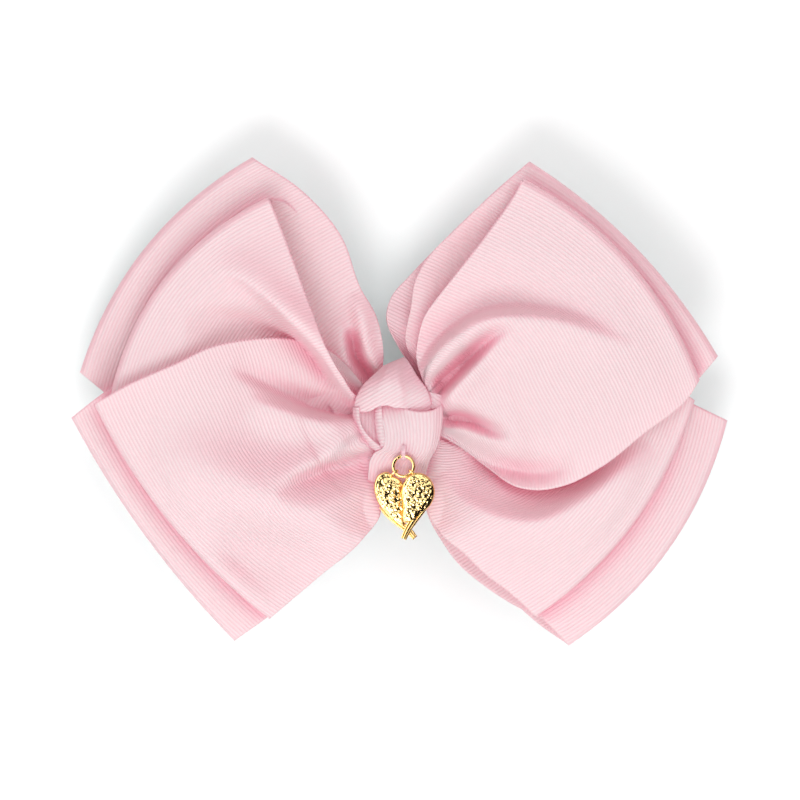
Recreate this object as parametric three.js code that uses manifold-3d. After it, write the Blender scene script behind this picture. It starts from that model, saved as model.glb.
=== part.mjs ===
// A large hair bow of wide grosgrain ribbon on an alligator clip, with a two-wing charm.
// Millimetres. +X is to the right as the bow is looked at, +Z is up, and the bow faces -Y.
// The origin is on the clip's outer jaw, the face that lies on the hair, behind the centre of the knot.

import * as THREE from 'three';
import { ParametricGeometry } from 'three/addons/geometries/ParametricGeometry.js';
import { mergeVertices } from 'three/addons/utils/BufferGeometryUtils.js';
import Module from 'manifold-3d';

const wasm = await Module();
wasm.setup();

// Driving dimensions
const RIBBON_WIDTH = 76; // 3 inch grosgrain
const RIBBON_SHEET = 0.5;
const FRONT_REACH = 66; // knot centre to the middle of a front loop's fold
const REAR_REACH = 75.5;
const GATHER_HEIGHT = 19; // the pleated middle of every ribbon
const BAND_PITCH = 3; // depth that one gathered ribbon takes in the stack
const CLEARANCE = 0.1; // between pieces that are glued or wound together
const CLIP_SHEET = 0.8; // the clip's pressed steel
const JAW_GAP = 4.6; // between the clip's two plates
const JAW_REACH = 47; // hinge pin to the tip of the jaws
const PIN_X = 16;
const LEVER_LENGTH = 12;
const LEVER_SPLAY = THREE.MathUtils.degToRad(15); // each lever, away from the jaws' line

// The stack of layers behind the ribbons, from the hair towards the front
const fixedJawBack = -CLIP_SHEET - JAW_GAP;
const fixedJawFront = fixedJawBack - CLIP_SHEET;
const pinY = -CLIP_SHEET - JAW_GAP / 2;
const LINING_SHEET = 0.4;
const liningFront = fixedJawFront - CLEARANCE - LINING_SHEET;
const GLUE_SHEET = 0.5;
const glueFront = liningFront - CLEARANCE - GLUE_SHEET;
const FELT_SHEET = 1.1;
const feltFront = glueFront - CLEARANCE - FELT_SHEET;
const KNOT_BACK_SHEET = 0.9;
const knotBackFront = feltFront - CLEARANCE - KNOT_BACK_SHEET;
const THREAD_RADIUS = 0.35;
const gatherBack = knotBackFront - 2 * THREAD_RADIUS - 3 * CLEARANCE;
const gatherFront = gatherBack - 4 * BAND_PITCH;
const knotInnerFront = gatherFront - 2 * THREAD_RADIUS - 3 * CLEARANCE;

// Materials
const grosgrain = new THREE.MeshStandardMaterial({ color: 0xf4cdd4, roughness: 0.82, metalness: 0 });
const gold = new THREE.MeshStandardMaterial({ color: 0xe0b25a, roughness: 0.22, metalness: 1 });
const steel = new THREE.MeshStandardMaterial({ color: 0xc9cacd, roughness: 0.3, metalness: 1 });
const felt = new THREE.MeshStandardMaterial({ color: 0xf0c4cd, roughness: 1, metalness: 0 });
const thread = new THREE.MeshStandardMaterial({ color: 0xf0bfca, roughness: 0.9, metalness: 0 });
const glue = new THREE.MeshStandardMaterial({ color: 0xf2efe6, roughness: 0.4, metalness: 0 });

const bow = new THREE.Group();
bow.name = 'hair_bow';

function add(name, geometry, material) {
	const mesh = new THREE.Mesh(geometry, material);
	mesh.name = name;
	bow.add(mesh);
	return mesh;
}

// Booleans

function toSolid(geometry) {
	const bare = new THREE.BufferGeometry().copy(geometry);
	bare.deleteAttribute('normal');
	bare.deleteAttribute('uv');
	const merged = mergeVertices(bare, 1e-4);
	return new wasm.Manifold(new wasm.Mesh({
		numProp: 3,
		vertProperties: merged.attributes.position.array,
		triVerts: new Uint32Array(merged.index.array),
	}));
}

function toGeometry(solid) {
	const mesh = solid.getMesh();
	const geometry = new THREE.BufferGeometry();
	geometry.setAttribute('position', new THREE.BufferAttribute(new Float32Array(mesh.vertProperties), 3));
	geometry.setIndex(new THREE.BufferAttribute(new Uint32Array(mesh.triVerts), 1));
	geometry.computeVertexNormals();
	return geometry;
}

function union(...geometries) {
	return toGeometry(geometries.map(toSolid).reduce((a, b) => a.add(b)));
}

function cut(geometry, ...tools) {
	return toGeometry(tools.map(toSolid).reduce((a, b) => a.subtract(b), toSolid(geometry)));
}

function common(a, b) {
	return toGeometry(toSolid(a).intersect(toSolid(b)));
}

// Shape helpers

// A flat outline in the XY plane, extruded along Z and centred on z = 0.
function plateXY(outline, height) {
	return new THREE.ExtrudeGeometry(outline, { depth: height, bevelEnabled: false, curveSegments: 10 })
		.translate(0, 0, -height / 2);
}

// A flat outline in the XZ plane, extruded along Y from back to front.
function plateXZ(outline, back, front) {
	return new THREE.ExtrudeGeometry(outline, { depth: back - front, bevelEnabled: false, curveSegments: 10 })
		.rotateX(Math.PI / 2)
		.translate(0, back, 0);
}

function outlineOf(points) {
	return new THREE.Shape(points.map(([x, y]) => new THREE.Vector2(x, y)));
}

// A cylinder along Z through the clip's hinge line.
function pinCylinder(radius, height, z = 0) {
	return new THREE.CylinderGeometry(radius, radius, height, 24)
		.rotateX(Math.PI / 2)
		.translate(PIN_X, pinY, z);
}

function sweep(curve, radius, steps, sides) {
	const section = new THREE.Shape().absarc(0, 0, radius, 0, 2 * Math.PI, false);
	return new THREE.ExtrudeGeometry(section, { steps, extrudePath: curve, curveSegments: sides });
}

// A closed ring of constantly changing section, as pointAt(around, across) with both from 0 to 1.
function closedRing(pointAt, stations, sides) {
	const surface = (u, w, target) => target.copy(pointAt(u % 1, w % 1));
	return new ParametricGeometry(surface, stations, sides);
}

// Ribbon loops
//
// Every ribbon is a closed band, pinched in the middle into two loops. A loop's end is a soft fold right across
// the ribbon. From the fold's two corners the selvedges run in square to the fold, then turn into the gather.

const deg = THREE.MathUtils.degToRad;

// The four ribbons from the back of the stack to the front. bearing is the way a loop points, fold the direction
// of its folded end from the lower corner to the upper, both in degrees from +X. The depths are the middle of the
// loop's thickness, at the selvedge that stands free and at the one that lies over or under the next loop.
const ribbons = [
	{ name: 'rear_ribbon_falling', reach: REAR_REACH, left: { bearing: 148, fold: 51 }, right: { bearing: -26, fold: 55 },
		freeDepth: -12.5, lapDepth: -12.5 },
	{ name: 'rear_ribbon_rising', reach: REAR_REACH, left: { bearing: 205, fold: 126 }, right: { bearing: 35, fold: 134 },
		freeDepth: -15, lapDepth: -21 },
	{ name: 'front_ribbon_falling', reach: FRONT_REACH, left: { bearing: 153.5, fold: 55 }, right: { bearing: -24.5, fold: 54 },
		freeDepth: -21, lapDepth: -30 },
	{ name: 'front_ribbon_rising', reach: FRONT_REACH, left: { bearing: 204, fold: 129 }, right: { bearing: 32.5, fold: 131 },
		freeDepth: -22, lapDepth: -41.5 },
];

const ROOT_X = 6.5; // where a loop starts, beside the middle of the bow
const CORNER_HANDLE = 30; // how far a selvedge runs square to the fold
const FREE_HANDLE = new THREE.Vector2(1, 17); // how a free selvedge flares out of the gather
const LAP_HANDLE = new THREE.Vector2(20, 22);
const FOLD_SAG = 3.5; // the folded end bows outwards by this
const FOLD_HALF = 1; // half the thickness of a loop at its fold
const LOOP_HALF = 3.2; // and where it is fullest
const ROOT_HALF = 0.75;
const FLARE_START = 10; // distance from the centre where the loops begin to fan out
const FLARE_LENGTH = 55;

function direction(degrees) {
	return new THREE.Vector2(Math.cos(deg(degrees)), Math.sin(deg(degrees)));
}

function smooth(x) {
	const c = THREE.MathUtils.clamp(x, 0, 1);
	return c * c * (3 - 2 * c);
}

// One loop of a ribbon as (side, t, v) => point: side is -1 in front and 1 behind, t runs from the fold to the
// gather, v from the lower selvedge to the upper.
function makeLoop(ribbon, depthIndex, toRight) {
	const { bearing, fold } = toRight ? ribbon.right : ribbon.left;
	const sign = toRight ? 1 : -1;
	const middle = direction(bearing).multiplyScalar(ribbon.reach);
	const along = direction(fold);
	const inward = new THREE.Vector2(-along.y, along.x).multiplyScalar(Math.sign(-along.x * middle.y + along.y * middle.x));
	const upperIsFree = middle.y > 0;
	const edges = [-1, 1].map((end) => {
		const corner = middle.clone().addScaledVector(along, end * RIBBON_WIDTH / 2);
		const isFree = (end === 1) === upperIsFree;
		const handle = isFree ? FREE_HANDLE : LAP_HANDLE;
		const root = new THREE.Vector2(sign * ROOT_X, end * GATHER_HEIGHT / 2);
		return new THREE.CubicBezierCurve(
			corner,
			corner.clone().addScaledVector(inward, CORNER_HANDLE),
			root.clone().add(new THREE.Vector2(sign * handle.x, end * handle.y)),
			root,
		);
	});
	const rootDepth = gatherBack - (depthIndex + 0.5) * BAND_PITCH;
	return (side, t, v) => {
		const flat = edges[0].getPoint(t).lerp(edges[1].getPoint(t), v);
		flat.addScaledVector(inward, -FOLD_SAG * 4 * v * (1 - v) * (1 - t) ** 3);
		const flare = smooth((flat.length() - FLARE_START) / FLARE_LENGTH);
		const free = upperIsFree ? v : 1 - v;
		const outer = THREE.MathUtils.lerp(ribbon.lapDepth, ribbon.freeDepth, free ** 3);
		const full = THREE.MathUtils.lerp(FOLD_HALF, LOOP_HALF * (0.6 + 1.6 * v * (1 - v)), Math.sin(Math.PI * Math.min(1, t * 1.2)));
		const half = THREE.MathUtils.lerp(ROOT_HALF, full, flare);
		return new THREE.Vector3(flat.x, THREE.MathUtils.lerp(rootDepth, outer, flare) + side * half, flat.y);
	};
}

// The whole band as a thin closed ring. stations run out along the left loop's front, back inside it, on to the
// right loop's back, and home along its front.
function ribbonBand(ribbon, depthIndex) {
	const LENGTHS = 10;
	const WIDTHS = 6;
	const left = makeLoop(ribbon, depthIndex, false);
	const right = makeLoop(ribbon, depthIndex, true);
	const passes = [
		(t, v) => left(-1, 1 - t, v),
		(t, v) => left(1, t, v),
		(t, v) => right(1, 1 - t, v),
		(t, v) => right(-1, t, v),
	];
	const perPass = LENGTHS + 1;
	const stations = passes.length * perPass;
	const middle = (i, j) => {
		const wrapped = (i + stations) % stations;
		return passes[Math.floor(wrapped / perPass)]((wrapped % perPass) / LENGTHS, j / WIDTHS);
	};
	const normal = (i, j) => {
		const alongBand = middle(i + 1, j).sub(middle(i - 1, j));
		const across = middle(i, Math.min(j + 1, WIDTHS)).sub(middle(i, Math.max(j - 1, 0)));
		return across.cross(alongBand).normalize();
	};
	const sides = 2 * (WIDTHS + 1);
	return closedRing((u, w) => {
		const i = Math.round(u * stations) % stations;
		const k = Math.round(w * sides) % sides;
		const onInner = k <= WIDTHS;
		const j = onInner ? k : sides - 1 - k;
		const offset = (onInner ? -0.5 : 0.5) * RIBBON_SHEET;
		return middle(i, j).addScaledVector(normal(i, j), offset);
	}, stations, sides);
}

ribbons.forEach((ribbon, index) => add(ribbon.name, ribbonBand(ribbon, index), grosgrain));

// Gathering thread: turns of thread that hold the pleats together.

function gatheringThread() {
	const TURNS = 4;
	const PITCH = 0.95;
	const PER_TURN = 20;
	const middleY = (gatherBack + gatherFront) / 2;
	const halfY = (gatherBack - gatherFront) / 2 + THREAD_RADIUS + CLEARANCE;
	const halfZ = GATHER_HEIGHT / 2 + THREAD_RADIUS + 8 * CLEARANCE;
	const points = [];
	for (let i = 0; i <= TURNS * PER_TURN; i += 1) {
		const angle = 2 * Math.PI * i / PER_TURN;
		const round = (value) => Math.sign(value) * Math.abs(value) ** 0.15;
		points.push(new THREE.Vector3(
			PITCH * (i / PER_TURN - TURNS / 2),
			middleY + halfY * round(Math.cos(angle)),
			halfZ * round(Math.sin(angle)),
		));
	}
	return sweep(new THREE.CatmullRomCurve3(points), THREAD_RADIUS, points.length, 3);
}

add('gathering_thread', gatheringThread(), thread);

// Knot: a narrow ribbon tied round the gather, full in front and flat behind.

const KNOT_TOP = 12.4;
const KNOT_BOTTOM = -14.2;
const KNOT_FRONT_THICKNESS = 3.4;
const KNOT_FRONT_WIDTH = 22;
const KNOT_NECK_WIDTH = 11;
const CHARM_X = 0.4; // the charm hangs a little to the right of the knot's middle
const STITCH_Z = -10.9;
const STITCH_Y = knotInnerFront - 3.4;
const STITCH_RADIUS = 2;
const STITCH_THREAD = 0.22;

function stitchLoop(radius) {
	return new THREE.TorusGeometry(STITCH_RADIUS, radius, 8, 20)
		.rotateY(Math.PI / 2)
		.translate(CHARM_X, STITCH_Y, STITCH_Z);
}

function knot() {
	const CORNER = 2;
	const STATIONS = 36;
	const SIDES = 12;
	const back = knotBackFront;
	const path = new THREE.Shape()
		.moveTo(back, 0)
		.lineTo(back, KNOT_TOP - CORNER)
		.absarc(back - CORNER, KNOT_TOP - CORNER, CORNER, 0, Math.PI / 2)
		.lineTo(knotInnerFront + CORNER, KNOT_TOP)
		.absarc(knotInnerFront + CORNER, KNOT_TOP - CORNER, CORNER, Math.PI / 2, Math.PI)
		.lineTo(knotInnerFront, KNOT_BOTTOM + CORNER)
		.absarc(knotInnerFront + CORNER, KNOT_BOTTOM + CORNER, CORNER, Math.PI, 1.5 * Math.PI)
		.lineTo(back - CORNER, KNOT_BOTTOM)
		.absarc(back - CORNER, KNOT_BOTTOM + CORNER, CORNER, 1.5 * Math.PI, 2 * Math.PI)
		.lineTo(back, 0);
	const middle = new THREE.Vector2((back + knotInnerFront) / 2, (KNOT_TOP + KNOT_BOTTOM) / 2);
	const band = closedRing((u, w) => {
		const inner = path.getPointAt(u);
		const tangent = path.getTangentAt(u);
		const outward = new THREE.Vector2(tangent.y, -tangent.x);
		const isFront = smooth((middle.x - inner.x) / (middle.x - knotInnerFront));
		const rise = Math.abs(inner.y - middle.y) / ((KNOT_TOP - KNOT_BOTTOM) / 2);
		const fullness = isFront * (1 - Math.min(1, rise) ** 3);
		const width = THREE.MathUtils.lerp(KNOT_NECK_WIDTH, KNOT_FRONT_WIDTH, fullness);
		const thickness = THREE.MathUtils.lerp(KNOT_BACK_SHEET, KNOT_FRONT_THICKNESS, fullness);
		const angle = -2 * Math.PI * w;
		const flat = (value) => Math.sign(value) * Math.abs(value) ** 0.6;
		const lift = thickness * (0.5 + 0.5 * flat(Math.sin(angle)));
		return new THREE.Vector3(
			width / 2 * flat(Math.cos(angle)),
			inner.x + outward.x * lift,
			inner.y + outward.y * lift,
		);
	}, STATIONS, SIDES);
	return cut(band, stitchLoop(2 * STITCH_THREAD));
}

add('knot_ribbon', knot(), grosgrain);
add('charm_stitch', stitchLoop(STITCH_THREAD), thread);

// Backing: a felt oval under the gather, glued to the clip.

function ovalPad(width, height, back, front) {
	return new THREE.CylinderGeometry(1, 1, back - front, 28)
		.scale(width / 2, 1, height / 2)
		.translate(0, (back + front) / 2, 0);
}

add('backing_felt', ovalPad(34, 20, feltFront + FELT_SHEET, feltFront), felt);
add('glue_pad', ovalPad(20, 8.4, glueFront + GLUE_SHEET, glueFront), glue);

// Clip

const JAW_WIDTH = 8;
const PRONG_WIDTH = 6.4;
const WALL = 0.7; // of the ears and of the moving jaw's side walls
const jawTip = PIN_X - JAW_REACH;
const PIN_RADIUS = 0.9;
const PIN_HOLE = 1.1;
const EAR_RADIUS = 2.1;

// A strip seen edge on: along the jaw, then bent at the hinge into a thumb lever. away is +1 to splay towards
// the hair and -1 towards the bow.
function leverStrip(face, away) {
	const other = face + away * CLIP_SHEET;
	const slope = Math.tan(LEVER_SPLAY) * LEVER_LENGTH;
	const end = PIN_X + LEVER_LENGTH;
	return outlineOf([
		[jawTip, face], [PIN_X, face], [end, face + away * slope],
		[end - away * Math.sin(LEVER_SPLAY) * away * CLIP_SHEET, other + away * slope],
		[PIN_X - Math.tan(LEVER_SPLAY / 2) * CLIP_SHEET, other], [jawTip, other],
	]);
}

// The same strip seen from the front: a rounded tip and a rounded lever.
function leverOutline(width, length) {
	const right = PIN_X + LEVER_LENGTH + 1;
	const left = PIN_X - length;
	const tip = width / 2;
	return new THREE.Shape()
		.moveTo(right - tip, -tip)
		.absarc(right - tip, 0, tip, -Math.PI / 2, Math.PI / 2)
		.lineTo(left + tip, tip)
		.absarc(left + tip, 0, tip, Math.PI / 2, 1.5 * Math.PI)
		.lineTo(right - tip, -tip);
}

function strip(face, away, width, length) {
	const reach = 20;
	return common(plateXY(leverStrip(face, away), width), plateXZ(leverOutline(width, length), reach, -reach));
}

function earPlate(towards, offset) {
	const ear = new THREE.Shape()
		.moveTo(PIN_X - EAR_RADIUS - 1, towards)
		.lineTo(PIN_X - EAR_RADIUS, pinY)
		.absarc(PIN_X, pinY, EAR_RADIUS, Math.PI, 0, towards > pinY)
		.lineTo(PIN_X + EAR_RADIUS + 1, towards)
		.lineTo(PIN_X - EAR_RADIUS - 1, towards);
	return plateXY(ear, WALL).translate(0, 0, offset);
}

function fixedJaw() {
	const plate = strip(fixedJawBack, -1, JAW_WIDTH, JAW_REACH);
	const offset = (JAW_WIDTH - WALL) / 2;
	const ears = [-offset, offset].map((z) => earPlate(fixedJawBack - CLIP_SHEET / 2, z));
	return cut(union(plate, ...ears), pinCylinder(PIN_HOLE, 2 * JAW_WIDTH));
}

// One side wall of the moving jaw, with teeth along the edge that meets the fixed jaw.
function toothedWall() {
	const TOOTH_PITCH = 1.6;
	const TOOTH_DEPTH = 0.8;
	const TOOTH_COUNT = 12;
	const meet = fixedJawBack + LINING_SHEET + 3 * CLEARANCE;
	const start = jawTip + 3;
	const base = -CLIP_SHEET / 2;
	const wall = new THREE.Shape().moveTo(start, base).lineTo(start, meet + TOOTH_DEPTH);
	for (let i = 0; i < TOOTH_COUNT; i += 1) {
		wall.lineTo(start + (i + 0.5) * TOOTH_PITCH, meet);
		wall.lineTo(start + (i + 1) * TOOTH_PITCH, meet + TOOTH_DEPTH);
	}
	wall.lineTo(PIN_X - EAR_RADIUS - 1, pinY + 0.6);
	wall.lineTo(PIN_X - EAR_RADIUS, pinY);
	wall.absarc(PIN_X, pinY, EAR_RADIUS, Math.PI, 2 * Math.PI, false);
	wall.lineTo(PIN_X + EAR_RADIUS + 1, base);
	wall.lineTo(start, base);
	return plateXY(wall, WALL);
}

function movingJaw() {
	const plate = strip(-CLIP_SHEET, 1, PRONG_WIDTH, JAW_REACH - 1);
	const offset = (PRONG_WIDTH - WALL) / 2;
	const walls = [-offset, offset].map((z) => toothedWall().translate(0, 0, z));
	return cut(union(plate, ...walls), pinCylinder(PIN_HOLE, 2 * JAW_WIDTH));
}

function hingePin() {
	const HEAD_HEIGHT = 0.6;
	const head = JAW_WIDTH / 2 + CLEARANCE + HEAD_HEIGHT / 2;
	return union(
		pinCylinder(PIN_RADIUS, JAW_WIDTH + 2 * CLEARANCE + HEAD_HEIGHT),
		pinCylinder(1.6, HEAD_HEIGHT, head),
		pinCylinder(1.6, HEAD_HEIGHT, -head),
	);
}

// Torsion spring: a coil on the pin, with a leg along each lever.
function clipSpring() {
	const COIL_RADIUS = 1.55;
	const WIRE_RADIUS = 0.32;
	const TURNS = 4;
	const LEG_LENGTH = 8;
	const STEP = Math.PI / 8;
	const HALF_HEIGHT = 1.7;
	const start = -Math.PI / 2 - LEVER_SPLAY;
	const sweepAngle = 2 * Math.PI * TURNS + Math.PI - 2 * LEVER_SPLAY;
	const pointAt = (angle, z) => new THREE.Vector3(
		PIN_X + COIL_RADIUS * Math.cos(angle), pinY + COIL_RADIUS * Math.sin(angle), z);
	const legTip = (angle, away, z) => pointAt(angle, z).add(new THREE.Vector3(
		LEG_LENGTH * Math.cos(LEVER_SPLAY), away * LEG_LENGTH * Math.sin(LEVER_SPLAY), 0));
	const count = Math.round(sweepAngle / STEP);
	const coil = Array.from({ length: count + 1 }, (_, i) => (
		pointAt(start - sweepAngle * i / count, HALF_HEIGHT * (2 * i / count - 1))));
	const path = new THREE.CatmullRomCurve3([
		legTip(start, -1, -HALF_HEIGHT), ...coil, legTip(start - sweepAngle, 1, HALF_HEIGHT),
	], false, 'centripetal');
	return sweep(path, WIRE_RADIUS, count + 10, 3);
}

// Ribbon glued along the fixed jaw and round its tip, so that the clip doesn't slip.
function clipLining() {
	const inner = CLEARANCE / 2;
	const tip = jawTip - inner;
	const frontStart = PIN_X - 4;
	const backEnd = PIN_X - 30;
	const outline = outlineOf([
		[frontStart, fixedJawFront - inner], [tip, fixedJawFront - inner], [tip, fixedJawBack + inner],
		[backEnd, fixedJawBack + inner], [backEnd, fixedJawBack + inner + LINING_SHEET],
		[tip - LINING_SHEET, fixedJawBack + inner + LINING_SHEET],
		[tip - LINING_SHEET, fixedJawFront - inner - LINING_SHEET], [frontStart, fixedJawFront - inner - LINING_SHEET],
	]);
	return plateXY(outline, 9.5);
}

add('clip_fixed_jaw', fixedJaw(), steel);
add('clip_moving_jaw', movingJaw(), steel);
add('clip_hinge_pin', hingePin(), steel);
add('clip_spring', clipSpring(), steel);
add('clip_lining_ribbon', clipLining(), grosgrain);

// Charm: two wings that make a heart, each with its own eye on one jump ring.

const RING_RADIUS = 2.8;
const RING_WIRE = 0.45;
const RING_Z = STITCH_Z - 0.88 - RING_RADIUS;
const RING_Y = STITCH_Y - 0.88;
const EYE_ANGLE = deg(35); // from the ring's centre, below the horizontal
const EYE_RADIUS = 1.05;
const EYE_WIRE = 0.3;
const EYE_PLAY = 0.2;
const WING_THICKNESS = 1.6;
const WING_OFFSET = 1.6; // the wings' middles stand this far behind and in front of the ring

function jumpRing() {
	return new THREE.TorusGeometry(RING_RADIUS, RING_WIRE, 8, 28)
		.rotateX(Math.PI / 2)
		.translate(CHARM_X, RING_Y, RING_Z);
}

// Half a heart with a tapering stem that crosses to the other side. side is -1 for the left wing.
function wing(side) {
	const BEVEL = 0.5;
	const half = new THREE.Shape()
		.moveTo(-0.4, -18.9)
		.bezierCurveTo(-1.4, -16.8, -2.8, -16.2, -4.3, -16.2)
		.bezierCurveTo(-6.6, -16.2, -7.8, -18.2, -7.8, -20.4)
		.bezierCurveTo(-7.8, -24, -4.4, -27.6, -0.9, -30.6)
		.lineTo(2.6, -34.2)
		.lineTo(3.2, -33.7)
		.lineTo(-0.1, -29.6)
		.bezierCurveTo(0, -26, -0.1, -22, -0.4, -18.9);
	const leaf = new THREE.ExtrudeGeometry(half, {
		depth: WING_THICKNESS - 2 * BEVEL, bevelThickness: BEVEL, bevelSize: 0.25, bevelSegments: 2, curveSegments: 8,
	}).translate(0, 0, -(WING_THICKNESS - 2 * BEVEL) / 2).rotateX(Math.PI / 2);
	const fromRing = RING_RADIUS + EYE_PLAY;
	const eye = new THREE.TorusGeometry(EYE_RADIUS, EYE_WIRE, 8, 18)
		.rotateY(Math.PI / 2)
		.rotateY(Math.PI / 2 - EYE_ANGLE)
		.translate(-fromRing * Math.cos(EYE_ANGLE), 0, RING_Z - fromRing * Math.sin(EYE_ANGLE));
	const turned = leaf.translate(0, -side * WING_OFFSET, 0);
	const made = union(turned, eye);
	if (side === 1) {
		made.scale(-1, 1, 1);
		const corners = made.index.array;
		for (let i = 0; i < corners.length; i += 3) [corners[i + 1], corners[i + 2]] = [corners[i + 2], corners[i + 1]];
	}
	return made.translate(CHARM_X, RING_Y, 0);
}

add('jump_ring', jumpRing(), gold);
add('charm_left_wing', wing(-1), gold);
add('charm_right_wing', wing(1), gold);

export default bow;
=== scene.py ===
"""A hair bow of wide grosgrain ribbon: soft loops, a tied knot, a lined clip and a hammered gold charm."""

import math
import random

import bmesh
import bpy
import numpy as np
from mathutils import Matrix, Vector, noise


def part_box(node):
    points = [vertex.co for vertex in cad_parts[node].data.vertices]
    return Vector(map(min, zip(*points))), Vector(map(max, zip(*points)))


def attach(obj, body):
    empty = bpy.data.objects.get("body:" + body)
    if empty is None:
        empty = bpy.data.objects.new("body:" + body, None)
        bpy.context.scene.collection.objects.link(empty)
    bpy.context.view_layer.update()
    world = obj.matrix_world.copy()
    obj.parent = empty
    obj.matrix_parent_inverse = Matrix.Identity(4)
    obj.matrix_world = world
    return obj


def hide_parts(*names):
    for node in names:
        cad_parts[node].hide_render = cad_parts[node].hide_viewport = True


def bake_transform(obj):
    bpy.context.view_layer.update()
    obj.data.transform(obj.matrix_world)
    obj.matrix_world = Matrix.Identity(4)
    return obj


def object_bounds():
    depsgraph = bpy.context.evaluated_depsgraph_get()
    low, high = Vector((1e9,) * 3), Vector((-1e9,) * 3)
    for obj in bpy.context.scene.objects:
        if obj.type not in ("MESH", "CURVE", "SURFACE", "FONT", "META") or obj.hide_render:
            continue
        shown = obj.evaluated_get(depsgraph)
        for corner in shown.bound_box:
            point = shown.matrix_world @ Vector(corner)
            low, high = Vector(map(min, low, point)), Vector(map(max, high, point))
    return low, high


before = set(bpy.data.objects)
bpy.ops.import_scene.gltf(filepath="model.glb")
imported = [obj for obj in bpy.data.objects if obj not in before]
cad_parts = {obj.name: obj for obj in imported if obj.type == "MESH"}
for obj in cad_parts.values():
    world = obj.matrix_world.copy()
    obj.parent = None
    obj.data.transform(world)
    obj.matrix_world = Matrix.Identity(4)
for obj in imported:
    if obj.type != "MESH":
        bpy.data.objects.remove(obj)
CAD_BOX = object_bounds()

MM = 0.001
RNG = random.Random(11)

# ---------------------------------------------------------------------------------------------
# Places taken from the frame
# ---------------------------------------------------------------------------------------------


def node_points(node):
    """Every corner of a CAD node's mesh, as rows of x, y, z in metres."""
    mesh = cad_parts[node].data
    flat = np.empty(len(mesh.vertices) * 3)
    mesh.vertices.foreach_get("co", flat)
    return flat.reshape(-1, 3)


def node_box(node):
    low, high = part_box(node)
    return np.array(low), np.array(high)


def loop_corners(node, side):
    """The lower and the upper corner of one loop's folded end, seen from the front as x and z."""
    points = node_points(node)
    half = points[points[:, 0] * side > 0]
    farthest = half[np.argmax(half[:, 0] * side)]
    top = half[np.argmax(half[:, 2])]
    bottom = half[np.argmin(half[:, 2])]
    points_up = top[2] + bottom[2] > 0
    pair = (farthest, top) if points_up else (bottom, farthest)
    return [corner[[0, 2]] for corner in pair]


def gather_depth(node):
    """The y at which a ribbon lies in the gathered middle of the bow."""
    points = node_points(node)
    middle = points[np.abs(points[:, 0]) < np.abs(points[:, 0]).min() + 2 * MM]
    return middle[:, 1].mean()


# ---------------------------------------------------------------------------------------------
# Curves and surfaces
# ---------------------------------------------------------------------------------------------


def smooth_step(x):
    x = np.clip(x, 0, 1)
    return x * x * (3 - 2 * x)


def even_curve(points, count):
    """A smooth curve through points, as count places spaced evenly along its length."""
    points = np.asarray(points, float)
    knots = np.concatenate([[0], np.cumsum(np.linalg.norm(np.diff(points, axis=0), axis=1))])
    slopes = np.gradient(points, knots, axis=0)
    t = np.linspace(0, knots[-1], 12 * count)
    k = np.clip(np.searchsorted(knots, t, side="right") - 1, 0, len(knots) - 2)
    span = (knots[k + 1] - knots[k])[:, None]
    u = (t - knots[k])[:, None] / span
    dense = (
        (2 * u**3 - 3 * u**2 + 1) * points[k]
        + (u**3 - 2 * u**2 + u) * span * slopes[k]
        + (3 * u**2 - 2 * u**3) * points[k + 1]
        + (u**3 - u**2) * span * slopes[k + 1]
    )
    length = np.concatenate([[0], np.cumsum(np.linalg.norm(np.diff(dense, axis=0), axis=1))])
    even = np.linspace(0, length[-1], count)
    return np.stack([np.interp(even, length, dense[:, a]) for a in range(points.shape[1])], axis=1)


def moving_average(rows, reach):
    padded = np.pad(rows, ((reach, reach), (0, 0)), mode="edge")
    window = np.ones(2 * reach + 1) / (2 * reach + 1)
    return np.stack([np.convolve(padded[:, a], window, "valid") for a in range(rows.shape[1])], axis=1)


def unit(rows):
    """Rows of vectors, each made one long."""
    return rows / np.maximum(np.linalg.norm(rows, axis=-1, keepdims=True), 1e-12)


def grid_normals(grid, closed):
    if closed:
        down = np.roll(grid, -1, axis=0) - np.roll(grid, 1, axis=0)
    else:
        down = np.gradient(grid, axis=0)
    return unit(np.cross(down, np.gradient(grid, axis=1)))


def along_columns(grid):
    """How far every place of a grid is from the first row, measured along its own column."""
    steps = np.linalg.norm(np.diff(grid, axis=0), axis=-1)
    return np.concatenate([np.zeros((1, grid.shape[1])), np.cumsum(steps, axis=0)])


def link(name, data):
    obj = bpy.data.objects.new(name, data)
    bpy.context.scene.collection.objects.link(obj)
    return obj


def new_mesh(name, points, faces, uv=None):
    """A smooth-shaded mesh object; uv holds one pair for each point."""
    mesh = bpy.data.meshes.new(name)
    mesh.from_pydata(np.asarray(points).tolist(), [], [list(face) for face in faces])
    if uv is not None:
        corners = np.empty(len(mesh.loops), int)
        mesh.loops.foreach_get("vertex_index", corners)
        mesh.uv_layers.new(name="ribbon").data.foreach_set("uv", np.asarray(uv)[corners].ravel())
    mesh.shade_smooth()
    mesh.update()
    return link(name, mesh)


def ring_faces(rings, count, closed=False):
    """Quads between every ring of count points and the next one."""
    faces = []
    for ring in range(rings if closed else rings - 1):
        a, b = ring * count, (ring + 1) % rings * count
        faces += [(a + j, a + (j + 1) % count, b + (j + 1) % count, b + j) for j in range(count)]
    return faces


def join(name, objects):
    """One object from several, which keep their materials and their uv."""
    first = objects[0]
    chosen = dict(selected_objects=objects, selected_editable_objects=objects)
    with bpy.context.temp_override(active_object=first, object=first, **chosen):
        bpy.ops.object.join()
    first.name = name
    return first


def finish_piece(obj, material, body, slot, *replaced):
    if material:
        obj.data.materials.clear()
        obj.data.materials.append(material)
    if body:
        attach(obj, body)
    if replaced:
        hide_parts(*replaced)


# ---------------------------------------------------------------------------------------------
# Ribbon sheets
# ---------------------------------------------------------------------------------------------

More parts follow.
